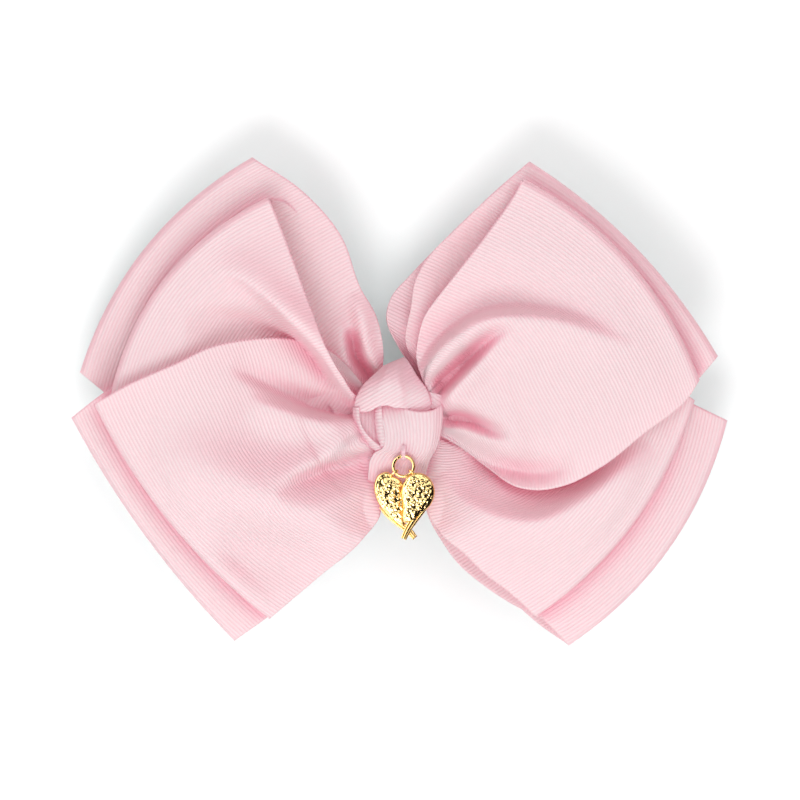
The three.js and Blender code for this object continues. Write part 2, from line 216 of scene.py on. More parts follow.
RIB_PITCH = 0.98 * MM
RIBBON_WIDTH = 76 * MM
RIBBON_SHEET = 0.36 * MM
SELVEDGE_EXTRA = 0.2  # how much thicker the woven edge is than the ribbon, as a share


def sheet_mesh(name, grid, ribs, closed=False, selvedges=True):
    """A sheet of ribbon as a solid: both faces, the selvedges and, on an open strip, the cut ends.

    The uv holds the rib number along the ribbon, and the place across it from 0 to 1.
    """
    rows, columns = grid.shape[:2]
    across = np.linspace(0, 1, columns)
    thickness = np.full(columns, RIBBON_SHEET)
    if selvedges:
        thickness[[0, -1]] *= 1 + SELVEDGE_EXTRA
    else:
        across = 0.1 + 0.8 * across
    offset = grid_normals(grid, closed) * thickness[None, :, None] / 2
    points = np.concatenate([(grid + offset).reshape(-1, 3), (grid - offset).reshape(-1, 3)])
    size = rows * columns
    r = np.arange(rows if closed else rows - 1)
    c = np.arange(columns - 1)
    r0, c0 = [axis.ravel() for axis in np.meshgrid(r, c, indexing="ij")]
    r1 = (r0 + 1) % rows
    near, far = r0 * columns + c0, r1 * columns + c0
    top = np.stack([near, far, far + 1, near + 1], axis=1)
    here = r * columns
    after = (r + 1) % rows * columns
    last = columns - 1
    low = np.stack([here, here + size, after + size, after], axis=1)
    high = np.stack([here, after, after + size, here + size], axis=1) + last
    faces = [top, top[:, ::-1] + size, low, high]
    if not closed:
        end = (rows - 1) * columns
        faces.append(np.stack([c, c + 1, c + 1 + size, c + size], axis=1))
        faces.append(np.stack([c, c + size, c + 1 + size, c + 1], axis=1) + end)
    uv = np.stack([ribs, np.broadcast_to(across, ribs.shape)], axis=-1).reshape(-1, 2)
    return new_mesh(name, points, np.concatenate(faces), np.concatenate([uv, uv]))


# ---------------------------------------------------------------------------------------------
# Ribbon loops
#
# A place on a loop is (out, across): out is 0 at the knot's centre and 1 on the line between the two
# corners of the folded end, and across is -1 on the lower selvedge's line and 1 on the upper one's.
# An edge point adds its lift, the height in millimetres in front of the ribbon's place in the gather.
# A fold is (below, above, stroke): how many millimetres wide it is under and over its stroke, and the
# stroke's points from the knot outwards, each with the height of the fold there in millimetres.
# ---------------------------------------------------------------------------------------------

GATHER_X = 6.5 * MM
GATHER_HALF = 9.0 * MM
PANEL_ROWS = 110
COLUMNS = 97
LOOP_GAP = 2.2  # half the opening between a loop's front and back, in millimetres
GATHER_GAP = 0.7
BACK_ROOM = 0.9 * MM  # a loop's back panel always stays this far behind its front panel
FOLD_ROWS = 5  # rows from the fold over which that room opens
NOSE = 0.026  # share of a loop's length over which its folded end rounds off
PUFF = 1.6  # how much the middle of a panel stands proud of its selvedges, in millimetres
DEEPEST = 6.5  # no crease goes deeper than this, in millimetres, or the ribbon behind would show
KNOT_CLEAR = (9.5, 14.5)  # folds fade out between these distances from the middle, in millimetres
LEAN_SHARE = 0.9  # how far the ribs turn towards square to the selvedges
STROKE_STEPS = 30
PLEAT_DEPTH = 3.0  # of the back panels, in millimetres
PLEAT_COUNT = 2.5

CORNERS = ((1, -1), (1, 1))  # where the folded end's lower and upper corners are, as out and across

LOOPS = {
    ("rear_ribbon_falling", -1): dict(
        sag=7.5,
        corners=((1.015, -1), (1.02, 1)),
        gather=(-0.6, 1.0),
        lower=[(0.8, -1.0, 1), (0.5, -0.92, 1), (0.3, -0.6, 1)],
        upper=[(0.8, 1.04, 2), (0.58, 0.96, 3), (0.41, 0.76, 4), (0.29, 0.66, 4), (0.18, 0.46, 3)],
        folds=[
            (1.6, 1.8, [
                (0.14, 0.26, -6), (0.2, 0.31, -6.5), (0.26, 0.35, -6.5), (0.3, 0.41, -5.5), (0.35, 0.49, 0),
            ]),
            (5, 2, [(0.2, 0.2, 1), (0.27, 0.27, 2), (0.34, 0.4, 2), (0.42, 0.5, 0)]),
            (2.5, 3, [(0.18, 0.36, 2), (0.27, 0.47, 3), (0.34, 0.6, 3), (0.42, 0.7, 0)]),
        ],
    ),
    ("rear_ribbon_falling", 1): dict(
        sag=7.3,
        gather=(-1.0, 0.5),
        lower=[(0.86, -0.95, 2), (0.74, -0.93, 1), (0.5, -0.84, 0), (0.3, -0.7, 0)],
        back_lower=[(0.86, -1.0, -3), (0.74, -0.97, -3), (0.5, -0.86, -2), (0.3, -0.72, -1)],
        upper=[(0.84, 0.95, 3), (0.5, 0.88, 3), (0.3, 0.5, 2)],
        folds=[],
    ),
    ("rear_ribbon_rising", -1): dict(
        sag=2.8,
        gather=(-1.0, 0.5),
        lower=[(0.75, -1.0, 1), (0.5, -0.95, 0), (0.34, -0.88, -1), (0.24, -0.68, -1)],
        upper=[(0.86, 1.01, 7), (0.75, 1.01, 6), (0.5, 0.93, 4), (0.3, 0.55, 2)],
        folds=[],
    ),
    ("rear_ribbon_rising", 1): dict(
        sag=4.6,
        corners=((0.98, -0.98), (0.985, 0.98)),
        gather=(-0.6, 1.0),
        lower=[(0.88, -1.0, 9), (0.7, -1.0, 9), (0.5, -0.92, 6), (0.3, -0.6, 3)],
        upper=[
            (0.8, 1.0, 1), (0.6, 1.0, 0), (0.46, 0.99, 0), (0.38, 0.94, 1), (0.29, 0.81, 2), (0.2, 0.68, 2),
        ],
        back_upper=[
            (0.8, 1.0, -1), (0.48, 1.0, -1), (0.37, 0.99, -1), (0.27, 0.97, 0), (0.21, 0.9, 1),
            (0.16, 0.66, 1),
        ],
        folds=[(6, 6, [(0.3, 0.55, 0), (0.45, 0.75, -2), (0.6, 0.85, -3), (0.8, 0.9, 0)])],
    ),
    ("front_ribbon_falling", -1): dict(
        sag=10,
        corners=((1.0, -1), (0.98, 0.98)),
        gather=(-0.6, 0.3),
        lower=[(0.8, -1.0, 9), (0.5, -0.92, 1), (0.3, -0.6, -4), (0.18, -0.4, -3)],
        upper=[
            (0.88, 0.87, 6), (0.71, 0.67, 8), (0.55, 0.48, 8), (0.41, 0.32, 6), (0.3, 0.23, 4),
            (0.19, 0.17, 0),
        ],
        back_upper=[
            (0.92, 1.02, 1.5), (0.78, 0.98, 0), (0.65, 0.9, -1), (0.54, 0.78, -1.5), (0.4, 0.45, -1),
            (0.25, 0.1, 0),
        ],
        folds=[
            (1.8, 6, [
                (0.12, 0.06, 1), (0.19, 0.14, 4), (0.3, 0.2, 6.5), (0.42, 0.28, 8), (0.59, 0.34, 7),
                (0.76, 0.39, 4), (0.9, 0.39, 2), (1.0, 0.3, 0),
            ]),
            (10, 4, [
                (0.3, 0.02, -3), (0.44, 0.12, -7), (0.58, 0.18, -7), (0.71, 0.17, -6), (0.84, 0.06, -4),
                (0.97, -0.1, 0),
            ]),
        ],
    ),
    ("front_ribbon_falling", 1): dict(
        sag=6.6,
        corners=((0.97, -0.97), (0.97, 0.97)),
        gather=(-1.0, 0.0),
        lower=[
            (0.83, -0.94, 4), (0.67, -0.93, 5), (0.55, -0.9, 5), (0.45, -0.89, 5), (0.35, -0.83, 4),
            (0.26, -0.69, 3),
        ],
        back_lower=[
            (0.85, -1.0, -1), (0.72, -1.01, -1), (0.57, -0.99, -1), (0.46, -0.93, 0), (0.35, -0.84, 0),
        ],
        upper=[(0.8, 0.97, 8), (0.5, 0.88, 4), (0.3, 0.55, 1)],
        folds=[
            (11, 4, [
                (0.28, -0.56, 0), (0.42, -0.62, 4), (0.57, -0.57, 6.5), (0.75, -0.39, 8), (0.84, -0.12, 7),
                (0.9, 0.21, 5), (0.94, 0.52, 0),
            ]),
            (5, 9, [
                (0.3, -0.3, -2), (0.45, -0.25, -5), (0.58, -0.16, -6), (0.7, 0.02, -5), (0.82, 0.3, 0),
            ]),
        ],
    ),
    ("front_ribbon_rising", -1): dict(
        sag=4.5,
        gather=(-1.0, 0.3),
        lower=[(0.72, -0.99, 2), (0.47, -0.975, 2), (0.35, -0.92, 2), (0.29, -0.78, 2), (0.25, -0.63, 2)],
        upper=[
            (0.83, 0.95, 11), (0.61, 0.85, 11), (0.46, 0.79, 9), (0.33, 0.68, 6), (0.22, 0.55, 3),
            (0.14, 0.42, 0), (0.08, 0.26, -3),
        ],
        folds=[
            (1.8, 5, [
                (0.12, -0.26, -6), (0.17, -0.2, -7), (0.24, -0.09, -7), (0.29, 0.03, -6), (0.34, 0.2, -5),
                (0.39, 0.4, -3), (0.44, 0.6, 0),
            ]),
            (6, 1.8, [
                (0.15, -0.32, 2), (0.25, -0.18, 4), (0.34, -0.02, 4), (0.41, 0.15, 3), (0.48, 0.35, 0),
            ]),
            (12, 11, [
                (0.3, -0.8, 0), (0.41, -0.76, 4), (0.55, -0.6, 7), (0.67, -0.38, 8), (0.79, -0.02, 7),
                (0.9, 0.25, 4), (1, 0.4, 0),
            ]),
            (10, 9, [(0.6, -0.95, 0), (0.72, -0.78, -4), (0.86, -0.48, -5), (0.95, -0.2, 0)]),
            (7, 2.5, [
                (0.18, -0.57, -1), (0.27, -0.53, -3.5), (0.37, -0.46, -4.5), (0.48, -0.4, -4),
                (0.64, -0.35, 0),
            ]),
            (2.2, 6, [
                (0.12, -0.46, 1), (0.19, -0.47, 2), (0.28, -0.4, 3.5), (0.44, -0.31, 3), (0.64, -0.24, 0),
            ]),
        ],
    ),
    ("front_ribbon_rising", 1): dict(
        sag=7,
        corners=((1.03, -0.97), (1.03, 0.96)),
        gather=(-0.4, 1.0),
        lower=[
            (0.93, -1.02, 10), (0.85, -1.02, 11), (0.73, -1.0, 12), (0.49, -0.98, 12), (0.32, -0.91, 10),
            (0.22, -0.81, 8), (0.16, -0.69, 6), (0.12, -0.44, 3.5), (0.09, -0.2, 1.5),
        ],
        upper=[
            (0.97, 0.92, 3), (0.79, 0.84, 3), (0.56, 0.76, 4), (0.44, 0.72, 5), (0.33, 0.67, 5),
            (0.26, 0.59, 4), (0.2, 0.49, 3), (0.17, 0.38, 2),
        ],
        folds=[
            (7, 1.8, [
                (0.14, 0.3, 2), (0.2, 0.37, 4), (0.29, 0.42, 6), (0.39, 0.42, 7), (0.49, 0.39, 7),
                (0.6, 0.28, 5.5), (0.69, 0.14, 4), (0.77, -0.03, 3), (0.84, -0.26, 1.5), (0.91, -0.51, 0),
            ]),
            (3, 8, [
                (0.2, 0.46, -1), (0.37, 0.51, -4), (0.49, 0.48, -4), (0.62, 0.39, -4), (0.73, 0.22, -3),
                (0.83, 0.0, -2), (0.94, -0.28, 0),
            ]),
            (1.8, 2.6, [
                (0.1, 0.17, -5), (0.17, 0.21, -10), (0.3, 0.23, -10), (0.38, 0.24, -8), (0.47, 0.25, -5),
                (0.6, 0.21, 0),
            ]),
            (4, 1.8, [(0.12, 0.08, 1), (0.2, 0.12, 3), (0.35, 0.15, 3), (0.5, 0.16, 0)]),
            (1.8, 2.2, [
                (0.08, 0.07, -4), (0.12, 0.03, -7), (0.18, -0.07, -7), (0.22, -0.2, -5), (0.27, -0.38, 0),
            ]),
            (3, 4, [
                (0.1, -0.2, -2), (0.15, -0.44, -4), (0.2, -0.58, -5), (0.28, -0.72, -4), (0.42, -0.82, 0),
            ]),
        ],
    ),
}


WING_BOXES = np.array([node_box("charm_left_wing"), node_box("charm_right_wing")])
CHARM_MIDDLE = (WING_BOXES[:, 0].min(axis=0) + WING_BOXES[:, 1].max(axis=0)) / 2
CHARM_ROOM = WING_BOXES[:, 1, 1].max() + 0.7 * MM  # cloth near the charm stays behind this
CHARM_SWEEP = 11 * MM  # how far from its middle the charm swings
CHARM_SLOPE = 0.8
CHARM_SOFT = 1.0 * MM


def behind_charm(grid):
    """The depths of a panel, pushed back softly where the charm's wings swing in front of it."""
    away = np.linalg.norm((grid - CHARM_MIDDLE)[..., [0, 2]], axis=-1)
    limit = CHARM_ROOM - CHARM_SLOPE * np.maximum(0, away - CHARM_SWEEP)
    return limit + CHARM_SOFT * np.log1p(np.exp((grid[..., 1] - limit) / CHARM_SOFT))


def stroke_offsets(here, line):
    """For every place, its distance to a polyline, whether it is on the left, and how far along it is."""
    start, step = line[:-1], np.diff(line, axis=0)
    rel = here[..., None, :] - start
    s = np.clip((rel * step).sum(-1) / (step**2).sum(-1), 0, 1)
    gap = rel - s[..., None] * step
    distance = np.linalg.norm(gap, axis=-1)
    k = distance.argmin(axis=-1)[..., None]
    cross = step[..., 0] * gap[..., 1] - step[..., 1] * gap[..., 0]

    def pick(values):
        return np.take_along_axis(values, k, axis=-1)[..., 0]

    return pick(distance), pick(cross) > 0, k[..., 0] + pick(s)


class Loop:
    """One loop of a ribbon: where it is, from the frame, and the shape of its two panels."""

    def __init__(self, node, side, shape):
        low, high = loop_corners(node, side)
        self.side = side
        self.shape = shape
        self.along = (high - low) / np.linalg.norm(high - low)
        self.outward = np.array([-self.along[1], self.along[0]])
        if self.outward @ low < 0:
            self.outward = -self.outward
        self.reach = self.outward @ low
        self.offset = self.along @ (low + high) / 2
        self.depth = gather_depth(node)

    def place(self, out, across, lift):
        flat = out * self.reach * self.outward + (self.offset + across * RIBBON_WIDTH / 2) * self.along
        return np.array([flat[0], self.depth - lift * MM, flat[1]])

    def edge(self, path, upper, gather):
        out, across = self.shape.get("corners", CORNERS)[upper]
        corner = self.place(out, across, path[0][2])
        root = np.array([self.side * GATHER_X, self.depth, gather * GATHER_HALF])
        return even_curve([corner, *(self.place(*point) for point in path), root], PANEL_ROWS + 1)

    def lean(self, edge, chord):
        """How the ribs leave a selvedge: square to it, unless that is far from the chord across."""
        run = moving_average(np.gradient(edge, axis=0), 5)
        square = unit(self.side * np.stack([run[:, 2], np.zeros(len(run)), -run[:, 0]], axis=1))
        length = np.linalg.norm(chord[:, [0, 2]], axis=1, keepdims=True)
        likeness = (square * chord).sum(axis=1, keepdims=True) / length
        square *= length
        square[:, 1] = chord[:, 1]
        return chord + smooth_step((likeness - 0.3) / 0.5) * (square - chord)

    def fold_height(self, points, folds):
        """The summed height, in millimetres, of every crease and ridge at the points of a panel."""
        flat = points[..., [0, 2]]
        across = flat @ self.along - self.offset
        here = np.stack([flat @ self.outward, across], axis=-1) / MM
        scale = np.array([self.reach, RIBBON_WIDTH / 2]) / MM
        total = np.zeros(here.shape[:-1])
        for below, above, stroke in folds:
            stroke = np.array(stroke)
            line = even_curve(stroke * [*scale, 1], STROKE_STEPS)
            distance, over, position = stroke_offsets(here, line[:, :2])
            height = np.interp(position, np.arange(len(line)), line[:, 2])
            total += height * np.exp(-((distance / np.where(over, above, below)) ** 2))
        start, full = KNOT_CLEAR
        clear = smooth_step((np.linalg.norm(flat, axis=-1) / MM - start) / (full - start))
        return np.maximum(total, -DEEPEST) * clear

    def panel(self, front):
        """One panel as a grid of places: rows run from the fold to the gather, and columns run upwards."""
        shape = self.shape
        prefix = "" if front else "back_"
        low_end, high_end = shape["gather"]
        lower = self.edge(shape.get(prefix + "lower", shape["lower"]), False, low_end)
        upper = self.edge(shape.get(prefix + "upper", shape["upper"]), True, high_end)
        t = np.linspace(0, 1, PANEL_ROWS + 1)[:, None]
        v = np.linspace(0, 1, COLUMNS)[None, :]
        chord = upper - lower
        bend = LEAN_SHARE * smooth_step(t / 0.25) * smooth_step((1 - t) / 0.15)
        leave = chord + bend * (self.lean(lower, chord) - chord)
        arrive = chord + bend * (self.lean(upper, chord) - chord)
        w = v[..., None]
        grid = (
            (2 * w**3 - 3 * w**2 + 1) * lower[:, None] + (w**3 - 2 * w**2 + w) * leave[:, None]
            + (3 * w**2 - 2 * w**3) * upper[:, None] + (w**3 - w**2) * arrive[:, None]
        )
        middle = 4 * v * (1 - v)
        bulge = shape["sag"] * MM * middle * (1 - t) ** 2
        grid[..., 0] += bulge * self.outward[0]
        grid[..., 2] += bulge * self.outward[1]
        nose = np.sqrt(np.clip(1 - (1 - np.minimum(t / NOSE, 1)) ** 2, 0, 1))
        gap = GATHER_GAP + (LOOP_GAP - GATHER_GAP + PUFF * middle) * smooth_step((1 - t) * 1.8)
        heights = gap * nose
        if front:
            fade = smooth_step(t / 0.1) * smooth_step((1 - t) / 0.06)
            heights = heights + self.fold_height(grid, shape["folds"]) * fade
            grid[..., 1] -= heights * MM
            grid[..., 1] = behind_charm(grid)
        else:
            own_edges = "back_lower" in shape or "back_upper" in shape
            grid[..., 1] += (heights + (0 if own_edges else LOOP_GAP * nose)) * MM
            grid[..., 1] += self.back_pleats(t, v) * MM
        return grid

    def back_pleats(self, t, v):
        """Soft pleats that fan out of the gather on the side that faces the head."""
        phase = 0.8 * self.side + self.offset * 40
        fade = smooth_step((t - 0.25) * 2) * (1 - t)
        return PLEAT_DEPTH * np.sin(2 * math.pi * (PLEAT_COUNT * v) + phase) * fade


def ribbon_band(node):
    """One whole ribbon as a closed sheet, with both of its loops."""
    panels, ribs = [], []
    for side in (-1, 1):
        loop = Loop(node, side, LOOPS[(node, side)])
        front, back = loop.panel(True), loop.panel(False)
        room = BACK_ROOM * np.minimum(1, np.arange(PANEL_ROWS + 1) / FOLD_ROWS)[:, None]
        back[..., 1] = np.maximum(back[..., 1], front[..., 1] + room)
        front_ribs, back_ribs = along_columns(front), -along_columns(back)
        if side < 0:
            panels += [front[::-1], back[1:]]
            ribs += [front_ribs[::-1], back_ribs[1:]]
        else:
            panels += [back[::-1], front[1:]]
            ribs += [back_ribs[::-1], front_ribs[1:]]
    rib_numbers = np.concatenate(ribs) / RIB_PITCH
    return sheet_mesh(node + "_cloth", np.concatenate(panels), rib_numbers, closed=True)


# ---------------------------------------------------------------------------------------------
# Knot
#
# Its places are (right, up, sink) in millimetres: from the middle of the bow, and sink is the depth
# behind the foremost plane of the knot.
# ---------------------------------------------------------------------------------------------

KNOT_LOW, KNOT_HIGH = node_box("knot_ribbon")
PATCH_ROWS = 41
PATCH_COLUMNS = 49
CORE_ROWS = 96
CORE_COLUMNS = 25
CORE_POWER = 3.2  # 2 makes the turn's section an ellipse, and more makes it a rounded box


def knot_curve(points, count):
    curve = even_curve(points, count)
    return np.stack([curve[:, 0] * MM, KNOT_LOW[1] + curve[:, 2] * MM, curve[:, 1] * MM], axis=1)


def coons_patch(bottom, top, left, right, crown):
    """A sheet inside four edge curves: bottom and top run to the right, left and right run upwards."""
    left = [bottom[0], *left, top[0]]
    right = [bottom[-1], *right, top[-1]]
    bottom, top = knot_curve(bottom, PATCH_COLUMNS), knot_curve(top, PATCH_COLUMNS)
    left, right = knot_curve(left, PATCH_ROWS), knot_curve(right, PATCH_ROWS)
    s = np.linspace(0, 1, PATCH_ROWS)[:, None, None]
    c = np.linspace(0, 1, PATCH_COLUMNS)[None, :, None]
    grid = (1 - s) * bottom[None] + s * top[None] + (1 - c) * left[:, None] + c * right[:, None]
    grid -= (1 - s) * ((1 - c) * bottom[0] + c * bottom[-1]) + s * ((1 - c) * top[0] + c * top[-1])
    grid[..., 1] -= crown * MM * (16 * s * (1 - s) * c * (1 - c))[..., 0]
    return grid


def ruled_patch(first, second, crown):
    """A sheet between two curves that run the same way, arched or hollowed between them."""
    a, b = knot_curve(first, PATCH_ROWS)[:, None], knot_curve(second, PATCH_ROWS)[:, None]
    c = np.linspace(0, 1, PATCH_COLUMNS // 3)[None, :, None]
    grid = a + (b - a) * c
    grid[..., 1] -= crown * MM * (4 * c * (1 - c))[..., 0]
    return grid


def slanted_ribs(grid, degrees):
    """Rib numbers for ribs that all lie at one angle, seen from the front."""
    angle = math.radians(degrees)
    return (grid[..., 2] * math.cos(angle) - grid[..., 0] * math.sin(angle)) / RIB_PITCH


def ribs_along_rows(grid):
    return along_columns(grid) / RIB_PITCH


def ribs_along_columns(grid):
    turned = along_columns(grid.transpose(1, 0, 2)).T
    return turned.mean(axis=0)[None, :].repeat(len(grid), axis=0) / RIB_PITCH


def knot_core():
    """The hidden turn of the knot that goes right round the gather; its two edges' x is in millimetres."""
    turn = np.linspace(0, 2 * math.pi, CORE_ROWS, endpoint=False)[:, None]
    c = np.linspace(-1, 1, CORE_COLUMNS)[None, :]
    depth = (KNOT_HIGH[1] - KNOT_LOW[1]) / 2
    height = (KNOT_HIGH[2] - KNOT_LOW[2]) / 2
    bulk = (np.abs(np.cos(turn)) ** CORE_POWER + np.abs(np.sin(turn)) ** CORE_POWER) ** (-1 / CORE_POWER)
    front = smooth_step(0.5 - 0.8 * np.cos(turn))
    top = smooth_step(np.sin(turn))
    low_x = -9.3 + 6.3 * front + 2 * top
    high_x = 9.3 - 0.8 * front - 6.5 * top - 4.5 * smooth_step(-np.sin(turn))
    pinch = 0.35 * np.cos(9 * c * math.pi + 2) * MM
    x = (low_x + high_x) / 2 + c * (high_x - low_x) / 2
    y = (KNOT_LOW[1] + KNOT_HIGH[1]) / 2 + (depth - 3.6 * MM * front + pinch) * bulk * np.cos(turn)
    z = (KNOT_LOW[2] + KNOT_HIGH[2]) / 2 + (height - 0.6 * MM + pinch) * bulk * np.sin(turn)
    grid = np.stack([x * MM + 0 * turn, y + 0 * c, z + 0 * c], axis=-1)
    return grid, ribs_along_rows(grid)


def knot_ribbon():
    """The tied knot: a flap over the top, the turn below it, the curl on the left and a short tail."""
    flap = coons_patch(
        bottom=[
            (-13.4, 0.6, 3.6), (-11.7, 0.3, 2.2), (-8.3, 0.7, 0.6), (-6.6, 1.7, 0), (-4.1, 2.1, -0.3),
            (-1.7, 1.4, -0.5), (-0.3, 1.4, -0.4), (1.8, 0.6, 0.9), (4.3, -0.4, 1.6), (6.6, -0.4, 2.0),
            (8.5, 0.6, 2.6),
        ],
        top=[(-5.1, 12.9, 6.5), (-2.2, 14.2, 6), (0.6, 15.3, 7)],
        left=[(-12.5, 4.4, 2.8), (-10.3, 8.0, 2.8), (-8.2, 10.0, 3.6)],
        right=[(7.3, 5.5, 2.2), (4.0, 10.4, 3.0), (1.8, 14.0, 5.0)],
        crown=1.2,
    )
    flap_top = coons_patch(
        bottom=[(-5.1, 12.9, 6.5), (-2.2, 14.2, 6), (0.6, 15.3, 7)],
        top=[(-5.5, 11.0, 16), (-2.2, 12.0, 16), (1.5, 12.2, 16)],
        left=[(-5.3, 12.7, 10)],
        right=[(1.2, 14.2, 11)],
        crown=0,
    )
    turn = coons_patch(
        bottom=[
            (-9.4, -18.4, 3.6), (-6.5, -19.4, 4.0), (-1, -19.8, 4.5), (3.5, -19.0, 4.5), (6.6, -17.0, 4.2),
        ],
        top=[
            (-6.9, 2.6, 2.0), (-4, 2.4, 1.9), (-0.6, 1.7, 1.0), (1.8, 0.95, 0.1), (4.3, 0.45, -0.3),
            (8.2, 0.8, 0.1), (11.2, 2.7, 2.2),
        ],
        left=[
            (-9.2, -15.5, 3.2), (-8.9, -13.3, 2.8), (-7.7, -11.0, 2.0), (-5.2, -9.4, 1.0),
            (-4.7, -6.5, 0.8), (-5.3, -3, 0.8),
        ],
        right=[(7.6, -13.0, 2.8), (9.7, -9.0, 1.8), (10.6, -5.5, 1.5), (11.1, -1.4, 1.6)],
        crown=0.6,
    )
    curl_rim = ruled_patch(
        [
            (-13.4, 1.8, 3.6), (-13.4, -1.0, 3.4), (-12.9, -3.4, 3.2), (-11.4, -6.3, 2.8),
            (-9.0, -8.9, 2.5), (-5.6, -11.4, 2.6),
        ],
        [
            (-11.7, 1.6, 2.0), (-11.7, -0.5, 1.7), (-11.3, -2.8, 1.5), (-10.0, -5.3, 1.3),
            (-7.9, -7.6, 1.3), (-4.6, -9.8, 2.2),
        ],
        crown=0.5,
    )
    curl_inside = ruled_patch(
        [
            (-12.2, 2.0, 2.4), (-12.2, -0.5, 2.1), (-11.8, -2.8, 1.9), (-10.5, -5.3, 1.7),
            (-8.7, -7.3, 1.6), (-6.6, -9.2, 1.6),
        ],
        [
            (-6.6, 2.6, 3.0), (-6.6, -0.5, 3.2), (-6.4, -2.8, 3.0), (-6.0, -5.5, 2.6),
            (-5.5, -7.5, 2.2), (-4.8, -9.6, 1.8),
        ],
        crown=-0.6,
    )
    strip = ruled_patch(
        [(-7.4, 2.0, 1.9), (-7.3, -2.0, 1.9), (-6.9, -5.5, 1.7), (-6.1, -8.2, 1.7), (-4.2, -11.8, 2.4)],
        [(-5.6, 2.2, 1.0), (-5.3, -2.0, 0.9), (-4.8, -5.5, 0.8), (-4.2, -8.2, 1.1), (-3.0, -11.4, 2.2)],
        crown=0.5,
    )
    tail = ruled_patch(
        [(6.6, 6.2, 3.2), (7.4, 3.2, 2.9), (8.2, 0.9, 2.2)],
        [(11.4, 4.7, 3.0), (11.6, 3.6, 2.8), (11.4, 2.2, 2.3)],
        crown=0.6,
    )
    core, core_ribs = knot_core()
    sheets = [
        sheet_mesh("knot_core", core, core_ribs, closed=True),
        sheet_mesh("knot_flap", flap, slanted_ribs(flap, 30)),
        sheet_mesh("knot_flap_top", flap_top, slanted_ribs(flap_top, 30), selvedges=False),
        sheet_mesh("knot_turn", turn, ribs_along_columns(turn)),
        sheet_mesh("knot_curl_rim", curl_rim, ribs_along_rows(curl_rim)),
        sheet_mesh("knot_curl_inside", curl_inside, curl_inside[..., 0] / RIB_PITCH, selvedges=False),
        sheet_mesh("knot_strip", strip, ribs_along_rows(strip)),
        sheet_mesh("knot_tail", tail, slanted_ribs(tail, -35)),
    ]
    return join("knot_ribbon_cloth", sheets)


# ---------------------------------------------------------------------------------------------
# Round bars: wire and thread
# ---------------------------------------------------------------------------------------------


def bar_mesh(name, path, radius, sides=12, closed=False):
    """A round bar along a path; radius is one number or one for each point of the path."""
    path = np.asarray(path, float)
    count = len(path)
    radius = np.broadcast_to(np.asarray(radius, float), (count,))
    if closed:
        tangent = np.roll(path, -1, axis=0) - np.roll(path, 1, axis=0)
    else:
        tangent = np.gradient(path, axis=0)
    tangent = unit(tangent)
    side = np.cross(tangent[0], [0.31, 0.87, 0.39])
    points = []
    angles = np.linspace(0, 2 * math.pi, sides, endpoint=False)
    for place, direction, r in zip(path, tangent, radius):
        side = side - direction * (side @ direction)
        side /= np.linalg.norm(side)
        up = np.cross(direction, side)
        points += [place + r * (math.cos(a) * side + math.sin(a) * up) for a in angles]
    faces = ring_faces(count, sides, closed)
    if not closed:
        faces.append(list(range(sides))[::-1])
        faces.append([(count - 1) * sides + j for j in range(sides)])
    return new_mesh(name, points, faces)


def twisted_pair(path, spread, twists):
    """Two plies that wind round a closed path."""
    tangent = unit(np.roll(path, -1, axis=0) - np.roll(path, 1, axis=0))
    side = unit(np.cross(tangent, [0.0, 1.0, 0.0]))
    up = np.cross(tangent, side)
    angle = np.linspace(0, 2 * math.pi * twists, len(path), endpoint=False)[:, None]
    wind = spread * (np.cos(angle) * side + np.sin(angle) * up)
    return [path + wind, path - wind]


# ---------------------------------------------------------------------------------------------
# Charm: a jump ring and two hammered wings
#
# Places on a wing are (right, up) in millimetres from the ring's centre.
# ---------------------------------------------------------------------------------------------

RING_LOW, RING_HIGH = node_box("jump_ring")
RING_CENTRE = (RING_LOW + RING_HIGH) / 2
RING_WIRE = (RING_HIGH[1] - RING_LOW[1]) / 2
RING_RADIUS = (RING_HIGH[0] - RING_LOW[0]) / 2 - RING_WIRE
EYE_ANGLE = math.radians(35)
EYE_PLAY = 0.2 * MM
EYE_RADIUS = 1.05 * MM
EYE_WIRE = 0.3 * MM
NECK_WIRE = 0.42 * MM
LEAF_OFFSET = 1.6 * MM  # how far the left leaf is behind the ring's middle, and the right one before it
LEAF_THICKNESS = 0.6 * MM
LEAF_LEVELS = 40
RIM_POINTS = 120
DIMPLE = 1.0 * MM  # the hammer marks' spacing, and then how deep they are
DIMPLE_DEPTH = 0.2 * MM
DOME = 1.15 * MM

WINGS = {
    "left": dict(
        side=-1,
        outline=[
            (-2.6, -2.6), (-4.6, -1.5), (-6.9, -2.4), (-8.1, -5.2), (-7.6, -8.6), (-5.6, -12.2),
            (-2.8, -15.0), (0.2, -16.5), (0.7, -13.0), (0.9, -8.6), (0.3, -5.4), (-1.0, -3.6),
        ],
        stem=[(-5.9, -10.7), (-3.2, -13.8), (-0.7, -16.0), (1.5, -17.7), (3.2, -19.7)],
    ),
    "right": dict(
        side=1,
        outline=[
            (2.0, -2.3), (3.9, -1.7), (6.6, -2.7), (8.4, -5.4), (8.5, -8.2), (7.2, -11.0), (4.9, -13.0),
            (2.4, -15.2), (0.4, -15.4), (-0.1, -10.6), (-0.5, -6.6), (0.4, -4.0),
        ],
        stem=[(5.9, -10.4), (4.4, -12.4), (2.7, -14.9), (1.2, -17.3), (0.0, -19.9)],
    ),
}


def closed_curve(points, count):
    points = np.asarray(points, float)
    wrapped = np.concatenate([points[-3:], points, points[:4]])
    dense = even_curve(wrapped, 40 * len(wrapped))
    first = np.linalg.norm(dense - points[0], axis=1)[: len(dense) // 2].argmin()
    last = len(dense) // 2 + np.linalg.norm(dense - points[0], axis=1)[len(dense) // 2 :].argmin()
    return even_curve(dense[first : last + 1 : 4], count + 1)[:-1]


